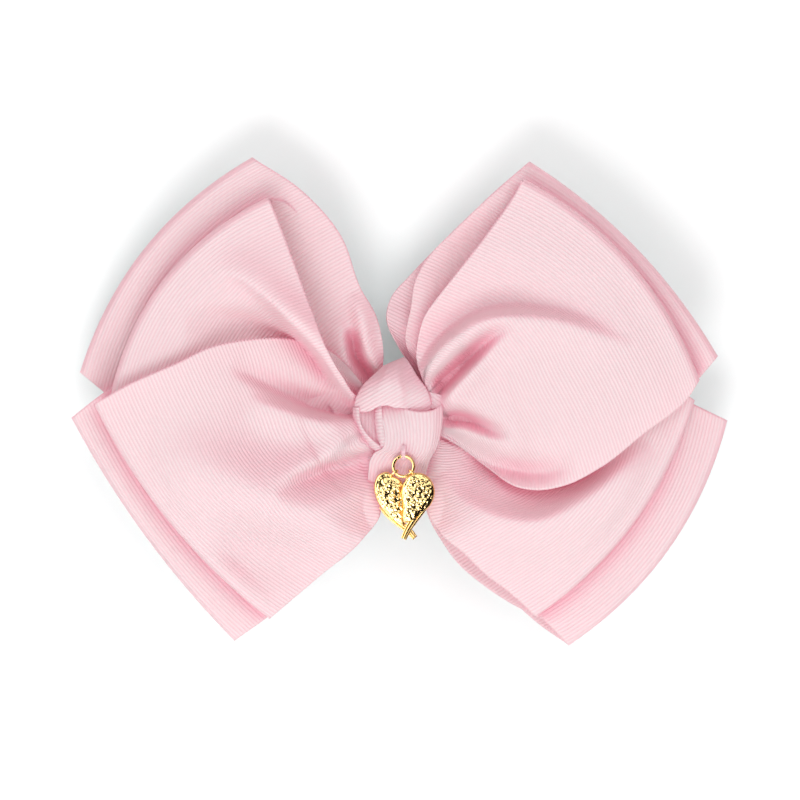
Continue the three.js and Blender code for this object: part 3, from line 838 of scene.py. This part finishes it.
def hammered_leaf(name, outline, front, thickness):
    """A domed leaf with round hammer marks on its front and a plain rim; front is the y of its edge."""
    rim = closed_curve(outline, RIM_POINTS) * MM + RING_CENTRE[[0, 2]]
    centre = rim.mean(axis=0)
    points = []
    for level in range(LEAF_LEVELS + 1):
        share = level / LEAF_LEVELS
        for x, z in centre + (rim - centre) * share:
            dome = DOME * math.sqrt(max(0.0, 1 - share**4))
            mark, _ = noise.voronoi(Vector((x, 0.3 * MM, z)) / DIMPLE)
            bump = DIMPLE_DEPTH * max(0.0, 1 - (mark[0] / 0.62) ** 2) * smooth_step((1 - share) / 0.2)
            roll = 0.16 * MM * math.exp(-(((share - 0.93) / 0.05) ** 2))
            points.append((x, front - dome - float(bump) - roll, z))
    back = ((1.0, 0.5), (0.96, 1.0), (0.0, 1.0))
    for share, push in back:
        points += [(x, front + thickness * push, z) for x, z in centre + (rim - centre) * share]
    leaf = new_mesh(name, points, ring_faces(LEAF_LEVELS + 1 + len(back), RIM_POINTS))
    weld(leaf)
    return leaf


def weld(obj, distance=0.002 * MM):
    work = bmesh.new()
    work.from_mesh(obj.data)
    bmesh.ops.remove_doubles(work, verts=work.verts, dist=distance)
    bmesh.ops.recalc_face_normals(work, faces=work.faces)
    work.to_mesh(obj.data)
    work.free()
    obj.data.shade_smooth()


def ring_point(centre, radius, u_axis, v_axis, angle):
    return centre + radius * (math.cos(angle) * u_axis + math.sin(angle) * v_axis)


def wing(key):
    """One wing of the charm: its leaf, a split stem, and the eye that hangs on the ring."""
    shape = WINGS[key]
    side = shape["side"]
    leaf_y = RING_CENTRE[1] - side * LEAF_OFFSET
    leaf = hammered_leaf("leaf", shape["outline"], leaf_y + 0.05 * MM, LEAF_THICKNESS)
    radial = np.array([side * math.cos(EYE_ANGLE), 0, -math.sin(EYE_ANGLE)])
    depth_axis = np.array([0.0, 1.0, 0.0])
    eye_centre = RING_CENTRE + (RING_RADIUS + EYE_PLAY) * radial
    turn = np.linspace(0, 2 * math.pi, 40, endpoint=False)
    eye_path = [ring_point(eye_centre, EYE_RADIUS, radial, depth_axis, a) for a in turn]
    parts = [leaf, bar_mesh("eye", eye_path, EYE_WIRE, sides=12, closed=True)]
    hook = eye_centre + EYE_RADIUS * radial - 0.35 * side * EYE_RADIUS * depth_axis
    top = np.array(shape["outline"][0]) * 0.7 + np.array(shape["outline"][1]) * 0.3
    anchor = np.array([RING_CENTRE[0] + top[0] * MM, leaf_y, RING_CENTRE[2] + (top[1] - 0.8) * MM])
    neck = even_curve([hook, (hook + anchor) / 2 + radial * 0.15 * MM, anchor], 9)
    parts.append(bar_mesh("neck", neck, NECK_WIRE))
    stem = even_curve(shape["stem"], 40)
    run = unit(np.gradient(stem, axis=0))
    across = np.stack([-run[:, 1], run[:, 0]], axis=1)
    share = np.linspace(0, 1, len(stem))
    for strand in (-1, 0, 1):
        flat = (stem + strand * across * (0.95 - 0.45 * share)[:, None]) * MM + RING_CENTRE[[0, 2]]
        y = leaf_y - (0.5 * MM) * (1 - share) + (0.25 * abs(strand) - 0.1) * MM
        path = np.stack([flat[:, 0], y, flat[:, 1]], axis=1)
        thickness = (0.44 - 0.14 * share) * (0.3 + 0.7 * smooth_step(share / 0.2)) * MM
        parts.append(bar_mesh("strand", path, thickness, sides=12))
    return join(f"{key}_wing_gold", parts)


def jump_ring():
    """An open wire ring whose ends meet at a fine slit."""
    slit, gap = math.radians(130), math.radians(1.2)
    turn = np.linspace(slit + gap, slit + 2 * math.pi - gap, 96)
    x_axis, z_axis = np.array([1.0, 0, 0]), np.array([0, 0, 1.0])
    path = [ring_point(RING_CENTRE, RING_RADIUS, x_axis, z_axis, a) for a in turn]
    return bar_mesh("jump_ring_gold", path, RING_WIRE, sides=20)


# ---------------------------------------------------------------------------------------------
# Clip, lining, felt, glue and threads
# ---------------------------------------------------------------------------------------------

SOFT_EDGE = 0.12 * MM
FIBRES = 90
TWISTS = 26  # of the two plies in one turn of thread
SPRING_WIRE = 0.32 * MM
SPRING_COIL = 1.55 * MM  # radius
SPRING_HALF = 1.7 * MM
SPRING_TURNS = 4


def softened_copy(name, node):
    """A CAD node's shape as a piece of its own, with its edges rounded by a bevel."""
    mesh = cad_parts[node].data.copy()
    mesh.materials.clear()
    obj = link(name, mesh)
    weld(obj)
    bevel = obj.modifiers.new("edges", "BEVEL")
    bevel.width = SOFT_EDGE
    bevel.segments = 2
    bevel.limit_method = "ANGLE"
    bevel.angle_limit = math.radians(35)
    bevel.harden_normals = False
    smooth = obj.modifiers.new("normals", "WEIGHTED_NORMAL")
    smooth.keep_sharp = True
    apply_modifiers(obj)
    return obj


def apply_modifiers(obj):
    evaluated = obj.evaluated_get(bpy.context.evaluated_depsgraph_get())
    mesh = bpy.data.meshes.new_from_object(evaluated)
    obj.modifiers.clear()
    obj.data = mesh


def lining():
    """The ribbon that wraps the fixed jaw, with its ribs across the clip."""
    obj = softened_copy("clip_lining_cloth", "clip_lining_ribbon")
    mesh = obj.data
    mesh.uv_layers.new(name="ribbon")
    low, high = node_box("clip_lining_ribbon")
    places = np.array([mesh.vertices[loop.vertex_index].co[:] for loop in mesh.loops])
    ribs = (places[:, 0] + places[:, 1]) / RIB_PITCH
    across = (places[:, 2] - low[2]) / (high[2] - low[2])
    mesh.uv_layers["ribbon"].data.foreach_set("uv", np.stack([ribs, across], axis=1).ravel())
    return obj


def felt_pad():
    """A pressed felt oval with a soft rim and loose fibres standing off it."""
    low, high = node_box("backing_felt")
    centre, half = (low + high) / 2, (high - low) / 2
    rings, count = 26, 120
    points = []
    levels = [(-1, ring) for ring in range(rings + 1)] + [(1, ring) for ring in range(rings, -1, -1)]
    for face, ring in levels:
        share = ring / rings
        drop = (1 - math.sqrt(max(0.0, 1 - share**10))) * half[1] * 0.9
        for j in range(count):
            a = 2 * math.pi * j / count
            x, z = half[0] * share * math.cos(a), half[2] * share * math.sin(a)
            fuzz = 0.06 * MM * noise.noise(Vector((x, face, z)) * 900)
            points.append((centre[0] + x, centre[1] + face * (half[1] - drop + fuzz), centre[2] + z))
    pad = new_mesh("felt", points, ring_faces(len(levels), count))
    weld(pad)
    fibres = [felt_fibre(centre, half) for _ in range(FIBRES)]
    return join("felt_pad", [pad, *fibres])


def felt_fibre(centre, half):
    """One bent fibre that starts at the pad's rim."""
    a = RNG.uniform(0, 2 * math.pi)
    start = centre + half * [math.cos(a) * 0.985, RNG.uniform(-0.8, 0.8), math.sin(a) * 0.985]
    reach_x = math.cos(a + RNG.uniform(-1, 1))
    reach_y = RNG.uniform(-0.6, 0.6)
    reach_z = math.sin(a + RNG.uniform(-1, 1))
    reach = np.array([reach_x, reach_y, reach_z])
    bend = np.array([RNG.uniform(-1, 1), RNG.uniform(-0.5, 0.5), RNG.uniform(-1, 1)])
    length = RNG.uniform(0.5, 1.1) * MM
    path = [start, start + reach * length * 0.5, start + (reach + bend * 0.5) * length]
    return bar_mesh("fibre", even_curve(path, 6), 0.02 * MM, sides=5)


def glue_bead():
    """Set hot glue: a flattened pad with a wavy squeezed-out rim."""
    low, high = node_box("glue_pad")
    centre, half = (low + high) / 2, (high - low) / 2
    rings, count = 16, 96
    points = []
    for i in range(rings + 1):
        polar = math.pi * i / rings
        for j in range(count):
            a = 2 * math.pi * j / count
            wave = 1 + 0.035 * math.sin(3 * a + 1) + 0.02 * math.sin(7 * a) + 0.012 * math.sin(13 * a + 2)
            radius = abs(math.sin(polar)) ** 0.45 * wave * 0.95
            box = (abs(math.cos(a)) ** 3 + abs(math.sin(a)) ** 3) ** (-1 / 3)
            points.append((
                centre[0] + half[0] * radius * box * math.cos(a) * 0.97,
                centre[1] - half[1] * math.cos(polar),
                centre[2] + half[2] * radius * box * math.sin(a) * 0.97,
            ))
    obj = new_mesh("glue_bead", points, ring_faces(rings + 1, count))
    weld(obj, 0.01 * MM)
    return obj


def thread_winding(name, node, turns, ply, spread):
    """Sewing thread wound round the loop that the CAD node takes up, as turns of two twisted plies."""
    low, high = node_box(node)
    centre = (low + high) / 2
    thin = int(np.argmin(high - low))
    plane = [axis for axis in range(3) if axis != thin]
    wire = (high - low)[thin] / 2
    half = (high - low) / 2 - wire
    strands = []
    for turn in range(turns):
        offset = (turn - (turns - 1) / 2) * 2 * spread
        angle = np.linspace(0, 2 * math.pi, 120, endpoint=False)
        path = np.zeros((len(angle), 3)) + centre
        path[:, plane[0]] += half[plane[0]] * np.cos(angle)
        path[:, plane[1]] += half[plane[1]] * np.sin(angle)
        path[:, thin] += offset + 0.15 * spread * np.sin(3 * angle + turn)
        pair = twisted_pair(path, ply * 0.8, TWISTS)
        strands += [bar_mesh("ply", line, ply, sides=8, closed=True) for line in pair]
    return join(name, strands)


def pin_centre():
    low, high = node_box("clip_hinge_pin")
    return (low + high) / 2


def spring_wire():
    """The torsion spring: a coil round the pin, with one leg along each lever of the clip."""
    pin = pin_centre()
    points = node_points("clip_spring")
    legs = []
    for end in (-1, 1):
        near = points[np.abs(points[:, 2] - (pin[2] + end * SPRING_HALF)) < 1.2 * SPRING_WIRE]
        legs.append(near[np.argmax(np.linalg.norm(near[:, :2] - pin[:2], axis=1))])
    angles = [math.atan2(leg[1] - pin[1], leg[0] - pin[0]) for leg in legs]
    start = angles[0] - math.pi / 2
    finish = angles[1] + math.pi / 2
    sweep = finish - start
    sweep += 2 * math.pi * (SPRING_TURNS - round(sweep / (2 * math.pi)))
    a = np.linspace(start, start + sweep, 40 * SPRING_TURNS)
    height = np.linspace(-SPRING_HALF, SPRING_HALF, len(a))
    x, y = pin[0] + SPRING_COIL * np.cos(a), pin[1] + SPRING_COIL * np.sin(a)
    ring = np.stack([x, y, pin[2] + height], axis=1)
    tips = []
    for leg, near in zip(legs, (ring[0], ring[-1])):
        tip = np.array([leg[0], leg[1], near[2]])
        tips.append(near + (tip - near) * 0.96)
    path = np.concatenate([
        np.linspace(tips[0], ring[0], 12)[:-1], ring, np.linspace(ring[-1], tips[1], 12)[1:],
    ])
    return bar_mesh("clip_spring_wire", path, SPRING_WIRE, sides=14)


# ---------------------------------------------------------------------------------------------
# Materials
# ---------------------------------------------------------------------------------------------

KEY_PLACE = (-0.15, -1.15, -0.75)  # the key light

# Grosgrain: its colour, and the shares of that colour's red, green and blue that its parts have and that
# its painted shade and highlights take.
RIBBON_PINK = (0.925, 0.9, 0.905)
# Painted shade in the grooves between ribs, and a painted highlight on the rib crests.
GROOVE_SHADE = (0.95, 0.83, 0.86)
RIB_CREST_HIGHLIGHT = (1.02, 1.05, 1.05)
CLOUD = (1.02, 0.93, 0.95)
FIBRE = (1.05, 1.08, 1.07)
# Painted shade: the deeper pink of cloth turned away from the key light.
SHADED_FROM_KEY_PINK = (1.03, 0.82, 0.87)
# Painted shade: the deep pink of creases and of cloth under other cloth.
CREASE_SHADE_PINK = (0.97, 0.53, 0.65)
SEEN_THROUGH = (1.06, 0.6, 0.7)
# The woven edge painted lighter, which also stands in for a painted highlight along the edge.
SELVEDGE_AND_HIGHLIGHT_PINK = (1.0, 0.95, 0.94, 1)
# Painted glow: the emitted pink of the cloth's creases.
PAINTED_GLOW_PINK = (1, 0.4, 0.52, 1)
PAINTED_CREASE_GLOW = 0.08  # a pink glow painted into the creases by emission, standing in for light that has gone through the cloth
THROUGH_SHARE = 0.36  # of the cloth is a translucent shader
RIB_DEPTH = 0.13 * MM
RIB_ROUNDNESS = 0.7
WARP_THREADS = 150
WARP_HEIGHT = 0.06  # of a rib's height
SELVEDGE_SHARE = 0.009
CREASE_REACH = 5.5 * MM  # cloth with other cloth within this distance is enclosed and gets painted crease shade and glow
LIT = (2.4, -0.86)  # gain and shift of how far the cloth faces the key light, for the painted shade on the side turned away
OPEN = (1.7, -0.5)  # gain and shift of how open the cloth is


class Nodes:
    """A small helper that adds the shader nodes of a new material or world and wires them by name."""

    def __init__(self, owner, end="OutputMaterial"):
        self.owner = owner
        owner.use_nodes = True
        self.tree = owner.node_tree
        self.tree.nodes.clear()
        self.end = self.add(end)

    def add(self, kind, **inputs):
        node = self.tree.nodes.new("ShaderNode" + kind)
        for key, value in inputs.items():
            label = key.replace("_", " ")
            if label in node.inputs:
                self.feed(node.inputs[label], value)
            else:
                setattr(node, key, value)
        return node

    def feed(self, socket, value):
        if isinstance(value, bpy.types.NodeSocket):
            self.tree.links.new(value, socket)
        else:
            socket.default_value = value

    def math(self, operation, *values):
        node = self.add("Math", operation=operation)
        for socket, value in zip(node.inputs, values):
            self.feed(socket, value)
        return node.outputs[0]

    def remap(self, value, gain, shift):
        """The value times gain plus shift, kept between 0 and 1."""
        result = self.math("MULTIPLY_ADD", value, gain, shift)
        result.node.use_clamp = True
        return result

    def noise(self, scale, **more):
        return self.add("TexNoise", Scale=scale, **more).outputs[0]

    def bump(self, strength, depth, height):
        return self.add("Bump", Strength=strength, Distance=depth, Height=height).outputs[0]

    def openness(self, reach):
        """1 where nothing stands within reach, and less where the surface is enclosed."""
        return self.add("AmbientOcclusion", samples=2, Distance=reach).outputs["AO"]

    def mix_colour(self, factor, a, b):
        node = self.add("Mix", data_type="RGBA")
        for index, value in ((0, factor), (6, a), (7, b)):
            self.feed(node.inputs[index], value)
        return node.outputs[2]

    def mix_shader(self, factor, a, b):
        node = self.add("MixShader", Fac=factor)
        self.feed(node.inputs[1], a)
        self.feed(node.inputs[2], b)
        return node.outputs[0]

    def principled(self, **inputs):
        return self.add("BsdfPrincipled", **inputs).outputs[0]

    def output(self, shader):
        self.feed(self.end.inputs["Surface"], shader)
        return self.owner


def new_material(name):
    return Nodes(bpy.data.materials.new(name))


def tinted(shares):
    return tuple(min(1, c * share) for c, share in zip(RIBBON_PINK, shares)) + (1,)


def grosgrain_material():
    """Ribbed ribbon: a rib at every whole number along the uv, fine warp threads, and a plain selvedge,
    with painted shade, painted highlights and a painted pink glow in its creases.
    """
    n = new_material("grosgrain_pink")
    parts = n.add("SeparateXYZ", Vector=n.add("UVMap", uv_map="ribbon").outputs[0])
    along, across = parts.outputs[0], parts.outputs[1]
    wave = n.math("SINE", n.math("MULTIPLY", along, 2 * math.pi))
    rib = n.math("POWER", n.math("MULTIPLY_ADD", wave, 0.5, 0.5), RIB_ROUNDNESS)
    warp = n.math("SINE", n.math("MULTIPLY", across, 2 * math.pi * WARP_THREADS))
    edge = n.math("ABSOLUTE", n.math("MULTIPLY_ADD", across, 2, -1))
    selvedge = n.math("GREATER_THAN", edge, 1 - 2 * SELVEDGE_SHARE)
    cloud = n.noise(70.0, Detail=3.0)
    fibre = n.noise(2600.0, Detail=2.0)
    # Painted shade in the rib grooves and a painted highlight on the crests, added on top of the ribs'
    # bump.
    tone = n.mix_colour(rib, tinted(GROOVE_SHADE), tinted(RIB_CREST_HIGHLIGHT))
    tone = n.mix_colour(n.math("MULTIPLY", cloud, 0.2), tone, tinted(CLOUD))
    tone = n.mix_colour(n.math("MULTIPLY", fibre, 0.16), tone, tinted(FIBRE))
    # Selvedge painted lighter: partly the woven edge, partly a painted highlight along it.
    tone = n.mix_colour(n.math("MULTIPLY", selvedge, 0.5), tone, SELVEDGE_AND_HIGHLIGHT_PINK)
    # Painted shade: cloth that faces away from the key light is painted a deeper pink.
    slope = n.add("VectorMath", operation="DOT_PRODUCT")
    n.feed(slope.inputs[0], n.add("NewGeometry").outputs["Normal"])
    n.feed(slope.inputs[1], tuple(Vector(KEY_PLACE).normalized()))
    lit = n.remap(n.math("ABSOLUTE", slope.outputs["Value"]), *LIT)
    tone = n.mix_colour(lit, tinted(SHADED_FROM_KEY_PINK), tone)
    # Painted shade: ambient occlusion paints creases and cloth under other cloth a deep pink.
    open_sky = n.remap(n.openness(CREASE_REACH), *OPEN)
    base = n.mix_colour(open_sky, tinted(CREASE_SHADE_PINK), tone)
    # Painted glow: the cloth emits pink light where it is enclosed, though it is no lamp.
    glow = n.math("MULTIPLY_ADD", open_sky, -PAINTED_CREASE_GLOW, PAINTED_CREASE_GLOW)
    bump = n.bump(1.0, RIB_DEPTH, n.math("MULTIPLY_ADD", warp, WARP_HEIGHT, rib))
    cloth = n.principled(
        Base_Color=base, Roughness=0.75, Sheen_Weight=0.2, Sheen_Roughness=0.4, Normal=bump,
        Emission_Color=PAINTED_GLOW_PINK, Emission_Strength=glow,
    )
    through = n.add("BsdfTranslucent", Color=tinted(SEEN_THROUGH), Normal=bump).outputs[0]
    return n.output(n.mix_shader(THROUGH_SHARE, cloth, through))


def gold_material():
    n = new_material("hammered_gold")
    wear = n.noise(900.0, Detail=4.0)
    base = n.mix_colour(wear, (0.86, 0.56, 0.18, 1), (0.97, 0.75, 0.38, 1))
    bump = n.bump(0.25, 0.03 * MM, n.noise(2200.0))
    rough = n.math("MULTIPLY_ADD", wear, 0.1, 0.06)
    return n.output(n.principled(Base_Color=base, Metallic=1.0, Roughness=rough, Normal=bump))


def steel_material():
    n = new_material("nickel_plated_steel")
    streak = n.noise(1400.0, Detail=5.0, Roughness=0.7)
    base = n.mix_colour(streak, (0.62, 0.62, 0.63, 1), (0.8, 0.8, 0.79, 1))
    bump = n.bump(0.2, 0.02 * MM, streak)
    rough = n.math("MULTIPLY_ADD", streak, 0.2, 0.15)
    return n.output(n.principled(Base_Color=base, Metallic=1.0, Roughness=rough, Normal=bump))


def felt_material():
    n = new_material("pressed_felt_pink")
    tangle = n.noise(3200.0, Detail=8.0, Roughness=0.75, Distortion=1.2)
    tone = n.mix_colour(tangle, (0.74, 0.42, 0.5, 1), (0.97, 0.7, 0.76, 1))
    patch = n.math("MULTIPLY", n.noise(300.0, Detail=3.0), 0.35)
    base = n.mix_colour(patch, tone, (0.9, 0.58, 0.65, 1))
    bump = n.bump(1.0, 0.14 * MM, tangle)
    return n.output(n.principled(
        Base_Color=base, Roughness=0.95, Sheen_Weight=0.6, Sheen_Roughness=0.6, Normal=bump,
    ))


def glue_material():
    n = new_material("set_hot_glue")
    haze = n.noise(500.0, Detail=3.0)
    base = n.mix_colour(haze, (0.86, 0.84, 0.77, 1), (0.97, 0.96, 0.92, 1))
    return n.output(n.principled(
        Base_Color=base, Roughness=0.28, Subsurface_Weight=0.4, Subsurface_Scale=0.8 * MM, Coat_Weight=0.3,
        Normal=n.bump(0.3, 0.08 * MM, haze),
    ))


def thread_material():
    n = new_material("sewing_thread_pink")
    fibre = n.add("TexWave", Scale=900.0, Distortion=3.0, Detail=2.0).outputs[1]
    base = n.mix_colour(fibre, (0.8, 0.48, 0.55, 1), (0.97, 0.74, 0.78, 1))
    bump = n.bump(0.6, 0.02 * MM, fibre)
    return n.output(n.principled(Base_Color=base, Roughness=0.6, Sheen_Weight=0.4, Normal=bump))


# ---------------------------------------------------------------------------------------------
# The bow
# ---------------------------------------------------------------------------------------------


def build_bow():
    ribbon, steel, gold, thread = grosgrain_material(), steel_material(), gold_material(), thread_material()
    for layer in ("rear", "front"):
        for way in ("falling", "rising"):
            node = f"{layer}_ribbon_{way}"
            finish_piece(ribbon_band(node), ribbon, "bow", "ribbon", node)
    finish_piece(knot_ribbon(), ribbon, "bow", "ribbon", "knot_ribbon")
    finish_piece(lining(), ribbon, "bow", "ribbon", "clip_lining_ribbon")
    finish_piece(felt_pad(), felt_material(), "bow", "felt", "backing_felt")
    finish_piece(glue_bead(), glue_material(), "bow", "glue", "glue_pad")
    for name, node, turns, ply, spread in [
        ("gathering_thread_wound", "gathering_thread", 5, 0.16 * MM, 0.3 * MM),
        ("charm_stitch_wound", "charm_stitch", 3, 0.1 * MM, 0.18 * MM),
    ]:
        finish_piece(thread_winding(name, node, turns, ply, spread), thread, "bow", "thread", node)
    for node, body in [("clip_fixed_jaw", "bow"), ("clip_hinge_pin", "bow"), ("clip_moving_jaw", "jaw")]:
        finish_piece(softened_copy(node + "_steel", node), steel, body, "clip_steel", node)
    spring = spring_wire()
    finish_piece(spring, steel, None, "clip_steel", "clip_spring")
    bend_spring(spring)
    finish_piece(jump_ring(), gold, "ring", "gold", "jump_ring")
    for key in WINGS:
        finish_piece(wing(key), gold, f"{key}_wing", "gold", f"charm_{key}_wing")


def bend_spring(spring):
    """Bakes the spring's placement into its mesh; the coil is not bent, and neither leg follows the jaw."""
    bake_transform(spring)


build_bow()

# ---------------------------------------------------------------------------------------------
# Stage
# ---------------------------------------------------------------------------------------------

VIEW_CENTRE = Vector((-0.00055, -0.02, 0.0036))
VIEW_WIDTH = 0.2204
VIEW_DISTANCE = 1.8
BACKDROP_GAP = 3 * MM
BACKDROP_HALF = 1.5
SKY = 0.77
WHITE = (1, 1, 1, 1)
# What polished metal mirrors: the place on a soft noise and the brightness there, darker on the right.
SCREENS = [(0.64, 0.003), (0.67, 0.08), (0.71, 0.25), (0.78, 1.0)]
SCREEN_SCALE = 2.6
SCREEN_TO_RIGHT = -0.5
SCREEN_POWER = 3.6
SHADE_REACH = 45 * MM  # the backdrop's painted green tint and painted glow reach this far from the bow, into its shadow
# Painted glow that lightens the bow's shadow on the paper, and the green it glows with.
SHADE_LIFT = 0.1
SHADE_GREEN = (0.3, 1, 0.88, 1)
SENSOR = 36  # the camera's sensor width, in millimetres


def backdrop_material():
    """Pale paper whose back can be looked through, so that the bow can be seen from behind."""
    n = new_material("backdrop_paper")
    bump = n.bump(0.05, 0.05 * MM, n.noise(900.0, Detail=4.0))
    # Painted shade correction: in the bow's shadow the paper is tinted green against the pink bounce light
    # and glows faintly to lighten that shadow.
    open_sky = n.openness(SHADE_REACH)
    tone = n.mix_colour(open_sky, (0.84, 0.97, 0.96, 1), (0.95, 0.95, 0.95, 1))
    lift = n.math("MULTIPLY_ADD", open_sky, -SHADE_LIFT, SHADE_LIFT)
    paper = n.principled(
        Base_Color=tone, Roughness=0.9, Normal=bump,
        Emission_Color=SHADE_GREEN, Emission_Strength=lift,
    )
    side = n.add("NewGeometry").outputs["Backfacing"]
    return n.output(n.mix_shader(side, paper, n.add("BsdfTransparent").outputs[0]))


def backdrop():
    y = CAD_BOX[1][1] + BACKDROP_GAP
    corners = [(x * BACKDROP_HALF, y, z * BACKDROP_HALF) for x, z in ((-1, -1), (1, -1), (1, 1), (-1, 1))]
    obj = new_mesh("backdrop", corners, [(0, 1, 2, 3)])
    obj.data.materials.append(backdrop_material())


def area_light(name, place, size, power, colour):
    light = bpy.data.lights.new(name, "AREA")
    light.shape = "DISK"
    light.size = size
    light.energy = power
    light.color = colour
    obj = link(name, light)
    obj.location = place
    obj.rotation_euler = (-obj.location).to_track_quat("-Z", "Y").to_euler()


def camera():
    data = bpy.data.cameras.new("camera")
    data.sensor_width = SENSOR
    data.lens = SENSOR * VIEW_DISTANCE / VIEW_WIDTH
    obj = link("camera", data)
    obj.location = VIEW_CENTRE + Vector((0, -VIEW_DISTANCE, 0))
    obj.rotation_euler = (math.radians(90), 0, 0)
    bpy.context.scene.camera = obj


def studio_world():
    """An even white sky for cloth and paper, while polished metal mirrors dark screens and bright boxes."""
    n = Nodes(bpy.data.worlds.new("studio"), "OutputWorld")
    direction = n.add("TexCoord").outputs["Generated"]
    right = n.add("SeparateXYZ", Vector=direction).outputs["X"]
    clouds = n.noise(SCREEN_SCALE, Vector=direction, Detail=0.0)
    ramp = n.add("ValToRGB")
    n.feed(ramp.inputs[0], n.math("MULTIPLY_ADD", right, SCREEN_TO_RIGHT, clouds))
    stops = ramp.color_ramp.elements
    for place, level in SCREENS:
        stops.new(place).color = (level, level, level, 1)
    stops.remove(stops[-1])
    stops.remove(stops[0])
    sky = n.add("Background", Color=WHITE, Strength=SKY).outputs[0]
    screens = n.add("Background", Color=ramp.outputs[0], Strength=SCREEN_POWER).outputs[0]
    mirrored = n.add("LightPath").outputs["Is Glossy Ray"]
    bpy.context.scene.world = n.output(n.mix_shader(mirrored, sky, screens))


backdrop()
studio_world()
area_light("key", KEY_PLACE, size=0.7, power=8.6, colour=(1, 0.98, 0.98))
area_light("fill", (0.3, -1.2, 0.5), size=0.9, power=3.5, colour=(1, 1, 1))
camera()
bpy.context.scene.view_settings.view_transform = "Standard"
